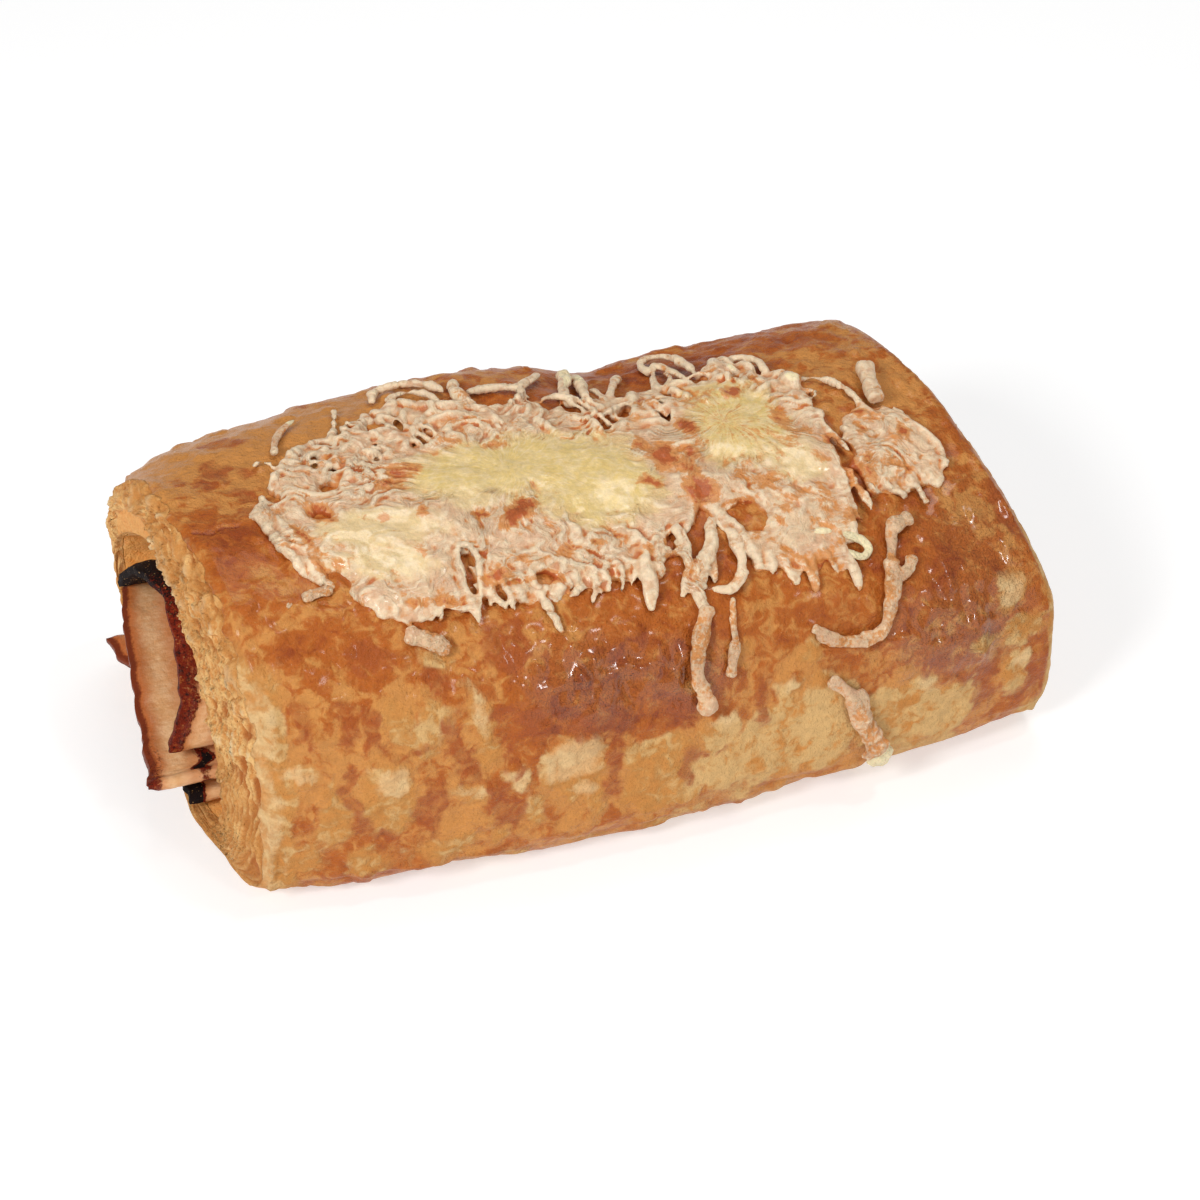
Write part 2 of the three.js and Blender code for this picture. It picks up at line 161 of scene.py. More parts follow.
# Toasted places: place, half width, half depth, turn, strength
TOASTED = (
    (-43.5, 8.6, 1.7, 1.6, 0, 0.9), (-42.6, 10.8, 1.6, 0.8, -10, 0.8),
    (-47.8, 14.5, 1, 3, -12, 0.9), (-47.3, 20.6, 1.1, 1.8, 0, 0.7),
    (-31, 4.6, 2.6, 1.2, -20, 0.8), (-28.5, 2.2, 1.8, 1.5, 0, 0.85),
    (-26.2, 1.5, 1.4, 1.6, 0, 0.8), (-34.6, 12.5, 1, 0.8, 0, 0.7), (-28.3, 12, 0.9, 1.7, 20, 0.7),
    (-31.5, 20, 1, 1.2, 0, 0.6), (-19.8, 14.6, 1.1, 0.9, 0, 1), (-14.8, 15.8, 3, 1.4, -40, 1.25),
    (-12.4, 13.8, 1.5, 0.9, 0, 1), (-12, -1.5, 1.5, 1, 0, 0.7), (-18, -4, 2, 1, 0, 0.6),
    (-14.5, -9, 2.5, 0.8, 0, 0.6), (-17, 24.5, 1, 1, 0, 0.65), (-10, 24, 0.8, 1, 0, 0.75),
    (8.3, 13.5, 1.5, 1.2, 0, 1), (13.2, 8, 1.8, 3, 15, 1.1), (17.4, 9, 1.1, 2.2, 0, 1),
    (15.6, 12, 2, 2, 0, 0.8), (16, 17, 2, 2.5, 0, 1.05), (14, 17.4, 0.9, 2.6, 0, 1),
    (24.5, -4, 4.5, 2.8, 0, 0.42), (30, 7, 5, 3, 0, 0.32), (27, 3, 6, 6, 0, 0.3),
    (19.6, 2.5, 1.1, 2.4, 0, 1), (10.8, 4.5, 1, 2, 0, 0.8), (31, -4, 1.3, 1.4, 0, 1.2),
    (36.2, -6.4, 0.9, 1.7, 0, 0.95), (35.5, 4.5, 1.3, 3, 0, 0.75), (41.4, 17.5, 1.3, 2.2, 0, 1),
    (43.2, 20, 0.8, 2, 0, 0.8), (41, 12, 1, 1.2, 0, 0.9), (46.6, 11, 0.8, 1.5, 10, 0.85),
    (48.6, 7.4, 1, 1.3, 0, 0.9), (53.5, 13, 1.3, 1.9, 0, 0.95), (50, 20, 0.8, 1.5, 0, 0.75),
    (45, 17.4, 0.8, 1.5, 0, 0.65), (25.7, 25.6, 0.8, 0.9, 0, 0.8),
    (-4.5, 23.5, 0.9, 0.8, 0, 0.75), (3.5, 26, 0.9, 0.9, 0, 0.65), (-35, 29, 1.7, 1, 0, 0.65),
    (-31, 29.6, 1.5, 1.2, 0, 0.75), (21, 20.4, 2.2, 0.6, 0, 0.8), (-22, 26.6, 2.2, 1.2, 0, 0.9),
    (-14.4, 28, 2.2, 1, 0, 0.9))
# Camera, as the photographed view: turn, height angle and distance
VIEW_TURN, VIEW_HEIGHT, VIEW_FAR, VIEW_LENS = -19.39, 37.53, 489.2, 90
VIEW_TARGET = (3.6, -2.05, 20)


# ------------------------------------------------------------------ numbers and fields
def mix(a, b, w):
    return a + (b - a) * w


def smooth(w):
    w = np.clip(w, 0, 1)
    return w * w * (3 - 2 * w)


def ramp(v, lo, hi):
    return smooth((v - lo) / (hi - lo))


def bell(v):
    return np.exp(-v * v)


def spread(x, s, table):
    """Sum of soft spots: place along X, place round the section, their widths and amount."""
    return sum(w[4] * bell((x - w[0]) / w[2]) * bell((s - w[1]) / w[3]) for w in table)


def turned(x, s, spot):
    """Places along and across a turned spot, as shares of its half width and half depth."""
    cx, cs, wide, deep, turn = spot
    c, n = math.cos(math.radians(turn)), math.sin(math.radians(turn))
    return ((x - cx) * c + (s - cs) * n) / wide, ((s - cs) * c - (x - cx) * n) / deep


def along(three, u):
    """Smooth value along the roll, u = -1 at the left end and 1 at the right end."""
    left, middle, right = three
    return middle + (right - left) / 2 * u + (left + right - 2 * middle) / 2 * u * u


def spline(points, n, closed=False):
    """n points along a smooth line through the given points."""
    p = np.array(points, float)
    m = len(p)
    t = np.arange(n) / n * m if closed else np.linspace(0, m - 1, n)
    i = np.minimum(t.astype(int), m - 1 if closed else m - 2)
    f = (t - i)[:, None]
    if closed:
        a, b, c, d = (p[(i + k) % m] for k in (-1, 0, 1, 2))
    else:
        a, b, c, d = (p[np.clip(i + k, 0, m - 1)] for k in (-1, 0, 1, 2))
        a = np.where((i == 0)[:, None], 2 * b - c, a)
        d = np.where((i == m - 2)[:, None], 2 * c - b, d)
    return 0.5 * (2 * b + (c - a) * f + (2 * a - 5 * b + 4 * c - d) * f ** 2
                  + (3 * b - a - 3 * c + d) * f ** 3)


def profile(points, x):
    line = spline(points, len(points) * 12)
    return np.interp(x, line[:, 0], line[:, 1])


def scatter_value(i, j, k, seed):
    """A fixed random number from -1 to 1 for each cell of a lattice."""
    h = (i * 374761393 + j * 668265263 + k * 2246822519 + seed * 3266489917) & 0xFFFFFFFF
    h = ((h ^ (h >> 13)) * 1274126177) & 0xFFFFFFFF
    h = ((h ^ (h >> 15)) * 2246822519) & 0xFFFFFFFF
    return ((h ^ (h >> 16)) & 0xFFFF) / 32767.5 - 1


def grain(p, size, seed, octaves=3, rough=0.5):
    """Smooth random field over points (n, 3), about -1 to 1, with lumps of the given size."""
    p = np.asarray(p, float) / np.asarray(size, float)
    total, weight, out = 0.0, 1.0, 0.0
    for octave in range(octaves):
        q = p * 2 ** octave + 17.3 * octave + 1000
        cell = np.floor(q).astype(np.int64)
        f = q - cell
        f = f * f * f * (f * (f * 6 - 15) + 10)
        x, y, z = cell[..., 0], cell[..., 1], cell[..., 2]
        value = 0
        for dx in (0, 1):
            for dy in (0, 1):
                for dz in (0, 1):
                    share = (np.abs(1 - dx - f[..., 0]) * np.abs(1 - dy - f[..., 1])
                             * np.abs(1 - dz - f[..., 2]))
                    value = value + share * scatter_value(x + dx, y + dy, z + dz,
                                                          seed + 31 * octave)
        out = out + weight * value
        total += weight
        weight *= rough
    return out / total * 1.6


def plane(x, s, level=0.0):
    """Points of a flat map of the crust, for grain()."""
    return np.stack(np.broadcast_arrays(x, s, level), -1)


# ------------------------------------------------------------------ shape of the dough
def lean(x, y, z):
    """Leans and bows the ends of the roll: place along the roll to true X."""
    u = np.clip(x / HALF, -1, 1)
    near_left, near_right = ((1 - u) / 2) ** 3, ((1 + u) / 2) ** 3
    q = y / SKEW_AT
    up = z / MID_HEIGHT - 1
    lip = LIP_OUT * bell((y - LIP_Y) / LIP_WIDE) * np.clip(1 - z / LIP_HIGH, 0, 1)
    return (x - near_left * (SKEW[0] * q + lip + TWIST_LEFT * q * up)
            - near_right * (SKEW[1] * q + HOLLOW_RIGHT * (1 - q * q) + SLOPE_RIGHT * up))


def section(x, n=SECTION_POINTS):
    """Closed outer section at x from the crown round the front: arc length, y and z."""
    u = np.clip(x / HALF, -1, 1)
    crown, height = along(CROWN, u), along(HEIGHT, u)
    t = np.pi / 2 - 2 * np.pi * np.arange(n + 1) / n
    c, s = np.cos(t), np.sin(t)
    in_front, on_top = c >= 0, s >= -1e-9
    waist = np.where(in_front, along(FRONT_WAIST, u), along(BACK_WAIST, u)) * height
    power = 2 / np.where(on_top, np.where(in_front, along(FRONT_ROUND, u),
                                          along(BACK_ROUND, u)), FOOT_ROUND)
    reach = np.where(in_front, crown + along(FRONT, u), along(BACK, u) - crown)
    dy = reach * np.abs(c) ** power
    dz = np.where(on_top, height - waist, waist + FOOT_FLAT) * np.abs(s) ** power
    y = np.where(in_front, crown - dy, crown + dy)
    z = np.where(on_top, waist + dz, np.maximum(waist - dz, 0))
    length = np.concatenate([[0], np.cumsum(np.hypot(np.diff(y), np.diff(z)))])
    ty, tz = np.gradient(y), np.gradient(z)
    size = np.maximum(np.hypot(ty, tz), 1e-9)
    place = np.where(length > length[-1] / 2, length - length[-1], length)
    rise = spread(x, place, SWELLS) * np.clip(z / SWELL_FADE, 0, 1)
    return length, y + rise * tz / size, np.maximum(z - rise * ty / size, 0)


@functools.lru_cache(1)
def crust_table():
    """The bare crust on an even grid: stations along X, total lengths round, points."""
    stations = np.linspace(-HALF - 2, HALF + 2, TABLE_STATIONS)
    points = np.zeros((len(stations), TABLE_ROUND + 1, 3))
    totals = np.zeros(len(stations))
    for i, x in enumerate(stations):
        length, y, z = section(x)
        even = np.linspace(0, length[-1], TABLE_ROUND + 1)
        points[i, :, 1], points[i, :, 2] = np.interp(even, length, y), np.interp(even, length, z)
        points[i, :, 0] = lean(x, points[i, :, 1], points[i, :, 2])
        totals[i] = length[-1]
    return stations, totals, points


def crust_point(x, s):
    """Points of the bare crust at x along the roll and s round it from the crown, in mm."""
    stations, totals, points = crust_table()
    x, s = np.broadcast_arrays(np.asarray(x, float), np.asarray(s, float))
    f = np.clip((x - stations[0]) / (stations[1] - stations[0]), 0, len(stations) - 1.001)
    i = f.astype(int)
    out = 0
    for k, share in ((0, 1 - (f - i)), (1, f - i)):
        total = totals[i + k]
        g = np.mod(s, total) / total * (points.shape[1] - 1)
        j = np.minimum(g.astype(int), points.shape[1] - 2)
        w = (g - j)[..., None]
        out = out + share[..., None] * (points[i + k, j] * (1 - w) + points[i + k, j + 1] * w)
    return out


def crust_normal(x, s):
    du = crust_point(x + NEAR, s) - crust_point(x - NEAR, s)
    dv = crust_point(x, np.asarray(s) + NEAR) - crust_point(x, np.asarray(s) - NEAR)
    n = np.cross(dv, du)
    n /= np.maximum(np.linalg.norm(n, axis=-1, keepdims=True), 1e-9)
    p = crust_point(x, s) - np.array([0, 0, CORE_HEIGHT])
    flip = np.sign(n[..., 1] * p[..., 1] + n[..., 2] * p[..., 2])
    return n * np.where(flip == 0, 1, flip)[..., None]


def on_crust(x, s, h):
    return crust_point(x, s) + crust_normal(x, s) * np.asarray(h)[..., None]


@functools.lru_cache(1)
def bearing_table():
    """For each station, the place round the section at each bearing from its middle."""
    stations, totals, points = crust_table()
    bearings = np.linspace(-np.pi, np.pi, TABLE_BEARINGS)
    out = np.zeros((len(stations), len(bearings)))
    for i in range(len(stations)):
        y, z = points[i, :, 1], points[i, :, 2]
        s = np.linspace(0, totals[i], len(y))
        s = np.where(s > totals[i] / 2, s - totals[i], s)
        a = np.arctan2(-(y - CROWN[1]), z - CORE_HEIGHT)
        order = np.argsort(a)
        out[i] = np.interp(bearings, a[order], s[order], period=2 * np.pi)
    return bearings, out


def place_on_crust(p):
    """Place along the roll, place round it and height over the bare crust, of points in mm."""
    stations, _, _ = crust_table()
    bearings, table = bearing_table()
    x = p[:, 0].copy()
    for _ in range(3):
        x += p[:, 0] - lean(x, p[:, 1], p[:, 2])
    a = np.arctan2(-(p[:, 1] - CROWN[1]), p[:, 2] - CORE_HEIGHT)
    f = np.clip((x - stations[0]) / (stations[1] - stations[0]), 0, len(stations) - 1.001)
    g = np.clip((a + np.pi) / (2 * np.pi) * (len(bearings) - 1), 0, len(bearings) - 1.001)
    i, j = f.astype(int), g.astype(int)
    s = (table[i, j] * (1 - (g - j)) + table[i, j + 1] * (g - j))
    h = np.einsum("ij,ij->i", p - crust_point(x, s), crust_normal(x, s))
    return x, s, h


def opening(x):
    """How far the passage is opened at x: 1 is MOUTH, 0 is SLOT."""
    deep, share = FLARE_LEFT if x < 0 else FLARE_RIGHT
    return share * float(smooth(1 - (HALF - abs(x)) / deep))


@functools.lru_cache(1)
def origin():
    """From the shape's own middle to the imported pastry's, in mm."""
    lo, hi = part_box("pastry")
    _, _, points = crust_table()
    own = points[2:-2].reshape(-1, 3)
    middle = (own.min(0) + own.max(0)) / 2
    packed = (np.array(lo) + np.array(hi)) / 2 / MM
    return np.array([packed[0] - middle[0], packed[1] - middle[1], 0.0])


# ------------------------------------------------------------------ meshes
def to_mesh(name, points, faces):
    """A mesh from points in mm and faces, placed in the frame."""
    mesh = bpy.data.meshes.new(name)
    mesh.from_pydata(((points + origin()) * MM).tolist(), [], faces)
    mesh.validate()
    mesh.update()
    return mesh


def give_fields(mesh, fields):
    for name, values in fields.items():
        values = np.asarray(values, np.float32)
        if values.ndim == 1:
            layer = mesh.attributes.new(name, "FLOAT", "POINT")
            layer.data.foreach_set("value", values)
        else:
            layer = mesh.attributes.new(name, "FLOAT_VECTOR", "POINT")
            layer.data.foreach_set("vector", values.ravel())


def finish_piece(name, mesh, material, nodes=()):
    """Names a piece, shades it smooth, gives it its finish and ties it to the frame."""
    mesh.name = name
    mesh.materials.clear()
    mesh.materials.append(material)
    mesh.polygons.foreach_set("use_smooth", [True] * len(mesh.polygons))
    piece = bpy.data.objects.new(name, mesh)
    bpy.context.scene.collection.objects.link(piece)
    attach(piece, "root")
    if nodes:
        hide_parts(*nodes)
    return piece


def strips(rows, n, closed_rows=False, closed_ring=True):
    """Four-sided faces between rows of n points."""
    i = np.arange(rows if closed_rows else rows - 1)
    k = np.arange(n if closed_ring else n - 1)
    i, k = np.meshgrid(i, k, indexing="ij")
    j, m = (i + 1) % rows, (k + 1) % n
    return np.stack([i * n + k, j * n + k, j * n + m, i * n + m], -1).reshape(-1, 4)


def outward(points, faces):
    """The faces, turned over if the body is inside out."""
    f = np.asarray(faces)
    a, b, c = points[f[:, 0]], points[f[:, 1]], points[f[:, 2]]
    d = points[f[:, -1]]
    volume = np.einsum("ij,ij->", a, np.cross(b, c)) + np.einsum("ij,ij->", a, np.cross(c, d))
    return f if volume > 0 else f[:, ::-1]


def vertex_fields(mesh):
    """Points in mm of the shape's own frame, and normals, of a mesh in the frame."""
    p = np.zeros(len(mesh.vertices) * 3)
    mesh.vertices.foreach_get("co", p)
    n = np.zeros(len(mesh.vertices) * 3)
    mesh.vertex_normals.foreach_get("vector", n)
    return p.reshape(-1, 3) / MM - origin(), n.reshape(-1, 3)


def neighbour_mean(mesh, values):
    """Each vertex's mean of the values of its neighbours."""
    e = np.zeros(len(mesh.edges) * 2, np.int64)
    mesh.edges.foreach_get("vertices", e)
    e = e.reshape(-1, 2)
    count = np.zeros(len(mesh.vertices))
    total = np.zeros_like(values)
    for a, b in ((0, 1), (1, 0)):
        count += np.bincount(e[:, a], minlength=len(count))
        if values.ndim == 1:
            total += np.bincount(e[:, a], weights=values[e[:, b]], minlength=len(count))
        else:
            for c in range(values.shape[1]):
                total[:, c] += np.bincount(e[:, a], weights=values[e[:, b], c],
                                           minlength=len(count))
    count = np.maximum(count, 1)
    return total / (count if values.ndim == 1 else count[:, None])


def hollows(mesh, reach):
    """How deep each vertex lies in a hollow, in mm, over a reach of so many edges."""
    p, n = vertex_fields(mesh)
    q = p
    for _ in range(reach):
        q = neighbour_mean(mesh, q)
    return np.einsum("ij,ij->i", q - p, n)


# ------------------------------------------------------------------ nodes
def feed(tree, socket, value):
    """Links a node's output to a socket, or sets the socket to a value."""
    if isinstance(value, bpy.types.NodeSocket):
        tree.links.new(value, socket)
    else:
        socket.default_value = value


def add_node(tree, kind, inputs=None, **settings):
    node = tree.nodes.new(kind)
    for key, value in settings.items():
        setattr(node, key, value)
    for key, value in (inputs or {}).items():
        feed(tree, node.inputs[key], value)
    return node


def add_group(name, kind, inputs, outputs):
    """A node group; inputs are given as name, kind and default or None, outputs as name, kind."""
    tree = bpy.data.node_groups.new(name, kind)
    for label, sort, value in inputs:
        socket = tree.interface.new_socket(label, in_out="INPUT", socket_type="NodeSocket" + sort)
        if value is not None:
            socket.default_value = value
    for label, sort in outputs:
        tree.interface.new_socket(label, in_out="OUTPUT", socket_type="NodeSocket" + sort)
    return tree, add_node(tree, "NodeGroupInput").outputs


# ------------------------------------------------------------------ finishes
class Finish:
    """Builds one material's nodes: every call makes a node and returns its output."""

    def __init__(self, name):
        self.material = bpy.data.materials.new(name)
        self.material.use_nodes = True
        self.tree = self.material.node_tree
        self.shader = next(n for n in self.tree.nodes if n.type == "BSDF_PRINCIPLED")
        texture = self.tree.nodes.new("ShaderNodeTexCoord")
        self.place = self.scaled(texture.outputs["Object"], (1 / MM,) * 3)

    def node(self, kind, inputs=None, **settings):
        return add_node(self.tree, kind, inputs, **settings)

    def scaled(self, vector, scale):
        return self.node("ShaderNodeMapping", {"Vector": vector, "Scale": scale}).outputs[0]

    def field(self, name):
        return self.node("ShaderNodeAttribute", attribute_name=name).outputs["Fac"]

    def vector(self, name):
        return self.node("ShaderNodeAttribute", attribute_name=name).outputs["Vector"]

    def noise(self, size, detail=3.0, rough=0.5, twist=0.0, stretch=None):
        place = self.scaled(self.place, stretch) if stretch else self.place
        return self.node("ShaderNodeTexNoise", {
            "Vector": place, "Scale": 1 / size, "Detail": detail, "Roughness": rough,
            "Distortion": twist}).outputs["Fac"]

    def sum(self, operation, a, b=0.0, c=0.0):
        return self.node("ShaderNodeMath", {0: a, 1: b, 2: c}, operation=operation).outputs[0]

    def plus(self, a, b):
        return self.sum("ADD", a, b)

    def less(self, a, b):
        return self.sum("SUBTRACT", a, b)

    def times(self, a, b):
        return self.sum("MULTIPLY", a, b)

    def swing(self, share, amount):
        """A share from nought to one, turned into a swing about nought."""
        return self.times(self.less(share, 0.5), amount)

    def step(self, value, lo, hi, to_lo=0.0, to_hi=1.0):
        return self.node("ShaderNodeMapRange", {
            "Value": value, "From Min": lo, "From Max": hi, "To Min": to_lo, "To Max": to_hi},
            interpolation_type="SMOOTHSTEP").outputs["Result"]

    def blend(self, share, a, b, mode="MIX"):
        node = self.node("ShaderNodeMix", data_type="RGBA", blend_type=mode)
        for socket, value in ((node.inputs[0], share), (node.inputs[6], a), (node.inputs[7], b)):
            if not isinstance(value, (float, bpy.types.NodeSocket)):
                value = (*value[:3], 1)
            feed(self.tree, socket, value)
        return node.outputs[2]

    def bump(self, height, deep, normal=None):
        """Relief of the given depth in mm."""
        inputs = {"Height": height, "Strength": 1.0, "Distance": deep * MM}
        if normal is not None:
            inputs["Normal"] = normal
        return self.node("ShaderNodeBump", inputs).outputs["Normal"]

    def detail(self, pore, wrinkle, blotch):
        """The shared pores, wrinkles and blotches, at sizes in mm."""
        return self.node("ShaderNodeGroup", {
            "Place": self.place, "Pore Size": pore, "Wrinkle Size": wrinkle,
            "Blotch Size": blotch}, node_tree=baked_detail_group()).outputs

    def set(self, **values):
        for key, value in values.items():
            socket = self.shader.inputs[key.replace("_", " ").title().replace("Ior", "IOR")]
            feed(self.tree, socket, value)


@functools.lru_cache(1)
def baked_detail_group():
    """Shared by all finishes: fine pores and wrinkles, as a height, and soft blotches."""
    tree, enter = add_group("baked detail", "ShaderNodeTree", (
        ("Place", "Vector", None), ("Pore Size", "Float", 0.5), ("Wrinkle Size", "Float", 2.0),
        ("Blotch Size", "Float", 6.0)), (("Height", "Float"), ("Blotch", "Float")))

    def noise(size_name, detail, rough):
        scale = add_node(tree, "ShaderNodeMath", {0: 1, 1: enter[size_name]},
                         operation="DIVIDE")
        return add_node(tree, "ShaderNodeTexNoise", {
            "Detail": detail, "Roughness": rough, "Vector": enter["Place"],
            "Scale": scale.outputs[0]}).outputs["Fac"]

    height = add_node(tree, "ShaderNodeMath", {
        0: noise("Pore Size", 2, 0.6), 1: 0.35, 2: noise("Wrinkle Size", 4, 0.55)},
        operation="MULTIPLY_ADD")
    add_node(tree, "NodeGroupOutput", {
        "Height": height.outputs[0], "Blotch": noise("Blotch Size", 5, 0.6)})
    return tree


def crust_finish(look):
    """Egg-washed crust, dry pale patches, dark streaks, flaky cut faces and the tan inside."""
    f = Finish("baked crust")
    detail = f.detail(0.45, 2.2, 7.0)
    fine = f.noise(0.9, 3, 0.7)
    speck = f.noise(0.35, 2, 0.5)
    mottle = f.noise(2.4, 4, 0.55, 0.8)
    frayed = f.plus(f.swing(fine, 0.9), f.swing(mottle, 1.8))

    # brown of the glaze: broad drifts, the top left one partly a painted highlight, and small crisp
    # mottles
    drift = f.plus(f.times(f.field("brown"), 0.45), f.swing(detail["Blotch"], 1.5))
    drift = f.plus(drift, f.swing(mottle, 2.1))
    glaze = f.blend(f.step(drift, -0.45, 0.1), look.glaze_pale, look.glaze)
    glaze = f.blend(f.step(drift, 0.1, 0.7), glaze, look.glaze_dark)

    # dry patches and the palest flakes on them, both with frayed edges
    dry = f.step(f.plus(f.field("dry"), frayed), -0.6, 0.6)
    tone = f.plus(detail["Blotch"], f.swing(mottle, 1.0))
    dough = f.blend(f.step(tone, 0.3, 0.55), look.glaze_pale, look.dry)
    tone = f.plus(tone, f.field("bare"))
    dough = f.blend(f.step(tone, 0.45, 0.72), dough, look.dry_pale)
    cream = f.step(f.plus(f.field("cream"), frayed), -0.6, 1.0)
    dough = f.blend(f.times(cream, 0.5), dough, look.dry_cream_and_highlight)
    colour = f.blend(f.times(dry, 0.88), glaze, dough)

    # dark streaks run over both, and the wash pools darkest
    streak = f.step(f.plus(f.field("dark"), f.times(frayed, 0.7)), -0.5, 0.6)
    colour = f.blend(f.times(streak, f.step(mottle, 0.3, 0.65, 0.45, 0.9)), colour, look.streak)
    pool = f.plus(f.field("pool"), f.swing(mottle, 1.5))
    colour = f.blend(f.times(f.step(pool, 0.25, 0.9), 0.55), colour, look.glaze_pool)
    uneven = f.plus(f.times(f.noise(1.3, 3, 0.75, 0.5), 0.7), f.times(fine, 0.3))
    colour = f.blend(1.0, colour, f.step(uneven, 0.3, 0.7, 0.88, 1.09), "MULTIPLY")

    # torn layers of the cut faces, with painted shade in the gaps between layers and a painted
    # highlight on the raised flakes
    flake = f.blend(f.step(f.plus(fine, f.times(f.field("layer"), 0.12)), 0.35, 0.65),
                    look.face_deep, look.face)
    flake = f.blend(f.step(f.field("cavity"), -0.1, 0.24), flake, look.face_gap_shade)
    flake = f.blend(f.step(f.field("cavity"), -0.3, -0.65), flake, look.dry_cream_and_highlight)
    flake = f.blend(f.times(f.step(f.field("toasted"), 0.2, 0.9),
                            f.step(mottle, 0.3, 0.7, 0.4, 0.9)), flake, look.glaze_pale)
    face = f.step(f.plus(f.field("face"), f.swing(fine, 0.6)), 0.35, 0.6)
    colour = f.blend(face, colour, flake)

    # smooth tan skin inside the roll, dark slits, which are painted shade in the crack, and specks
    colour = f.blend(f.step(f.field("inside"), 0.3, 0.7), colour,
                     f.blend(f.step(tone, 0.3, 0.7), look.inside, look.inside_pale))
    slit = f.times(f.step(f.field("slit"), 0.4, 0.8), 0.8)
    colour = f.blend(slit, colour, look.glaze_pool)
    colour = f.blend(f.times(f.step(speck, 0.69, 0.75), 0.5), colour, look.streak)
    colour = f.blend(f.times(f.step(speck, 0.31, 0.25), 0.3), colour, look.dry_pale)

    matt = f.sum("MAXIMUM", f.times(dry, f.less(1.0, streak)), face)
    matt = f.sum("MAXIMUM", matt, f.step(f.field("foot"), 0.3, 0.9))
    rough = f.plus(f.step(matt, 0, 1, 0.34, 0.66), f.swing(fine, 0.3))
    relief = f.bump(detail["Height"], 0.34)
    relief = f.bump(uneven, 0.30, relief)
    glossy = f.times(f.noise(0.55, 2, 0.75), f.field("sparkle"))
    relief = f.bump(glossy, 0.9, relief)
    relief = f.bump(f.times(f.noise(0.7, 3, 0.75), f.plus(face, f.times(dry, 0.25))), 0.4, relief)
    f.set(base_color=colour, roughness=rough, normal=relief,
          coat_weight=f.times(f.less(1.0, matt), f.step(f.field("sparkle"), 0.1, 0.8, 0.14, 1.0)),
          coat_roughness=0.13, coat_ior=1.45, specular_ior_level=0.12)
    return f.material


def cheese_finish(look):
    """Melted cheese: smooth yellow pools, cream wrinkles, hollows painted orange and brown as
    painted shade, ridges painted pale as painted highlight, and toasted spots.
    """
    f = Finish("melted cheese")
    detail = f.detail(0.35, 1.1, 4.0)
    fibre = f.node("ShaderNodeTexNoise",
                   {"Vector": f.vector("way"), "Scale": 1 / 0.65, "Detail": 4.0, "Roughness": 0.6,
                    "Distortion": 0.3}).outputs["Fac"]
    drawn = f.times(f.less(fibre, 0.5), f.less(1.0, f.field("seam")))
    fine = f.noise(0.6, 4, 0.65, 0.4)
    frayed = f.less(fine, 0.5)
    cloud = f.less(detail["Blotch"], 0.5)
    cream = f.blend(f.step(f.plus(cloud, f.times(drawn, 0.7)), -0.2, 0.15), look.cheese_pink,
                    look.cheese)

    # pools: the yellow melted middle and the paler ones round it
    pool = f.step(f.plus(f.field("melt"), f.times(f.plus(cloud, drawn), 0.6)), 0.12, 0.85)
    yellow = f.blend(f.step(f.noise(2.2, 4, 0.6, 0.6), 0.38, 0.64), look.cheese_yellow,
                     look.cheese_butter)
    halo = f.times(f.step(f.plus(f.field("melt"), f.times(drawn, 0.4)), 0.0, 0.25), 0.5)
    colour = f.blend(halo, cream, look.cheese_yellow)
    colour = f.blend(f.times(pool, 0.92), colour, yellow)
    pale = f.step(f.plus(f.field("pale"), f.times(cloud, 0.8)), 0.2, 0.95)
    colour = f.blend(f.times(pale, 0.75), colour, look.cheese_butter)
    smooth_part = f.sum("MAXIMUM", pool, pale)
    rugged = f.times(f.step(smooth_part, 0, 0.7, 1.0, 0.12),
                     f.step(f.noise(5.5, 2, 0.5), 0.36, 0.6, 0.3, 1.0))
    baked = f.step(f.noise(6.5, 3, 0.55), 0.38, 0.62)

    # painted highlight: ridges are painted pale; painted shade: hollows are painted orange, then
    # brown; the thin edges bake orange, then brown
    ridge = f.plus(f.field("ridge"), f.times(drawn, 0.22))
    colour = f.blend(f.times(f.step(ridge, -0.01, 0.09), 0.75), colour, look.cheese_ridge_highlight)
    deep = f.less(f.field("cavity"), f.times(f.times(drawn, rugged), 0.35))
    colour = f.blend(f.times(f.step(deep, 0.045, 0.12), f.sum("MULTIPLY_ADD", baked, 0.65, 0.22)),
                     colour, look.cheese_orange)
    colour = f.blend(f.times(f.step(deep, 0.10, 0.22), f.sum("MULTIPLY_ADD", baked, 0.5, 0.4)),
                     colour, look.cheese_toast_and_shade)
    toast = f.plus(f.field("toast"), f.times(frayed, 0.8))
    toast = f.less(toast, f.times(drawn, 1.0))
    colour = f.blend(f.times(f.step(toast, 0.24, 0.5), 0.85), colour, look.cheese_orange)
    colour = f.blend(f.times(f.step(toast, 0.6, 0.9), 0.9), colour, look.cheese_toast_and_shade)
    colour = f.blend(f.step(f.field("raw"), 0.35, 0.65), colour, look.cheese_raw)
    colour = f.blend(1.0, colour, f.step(f.noise(0.9, 4, 0.7), 0.3, 0.7, 0.88, 1.07), "MULTIPLY")
    rough = f.plus(f.step(smooth_part, 0, 1, 0.5, 0.36), f.times(frayed, 0.25))
    relief = f.bump(f.times(detail["Height"], f.step(f.field("melt"), 0, 1, 1.0, 0.5)), 0.2)
    relief = f.bump(f.times(drawn, rugged), 0.75, relief)
    relief = f.bump(f.times(frayed, rugged), 0.18, relief)
    f.set(base_color=colour, roughness=rough, normal=relief,
          coat_weight=f.step(smooth_part, 0, 1, 0.2, 0.6), coat_roughness=0.12,
          subsurface_weight=0.08, subsurface_scale=MM, specular_ior_level=0.25)
    f.shader.inputs["Subsurface Radius"].default_value = (1.0, 0.55, 0.3)
    return f.material


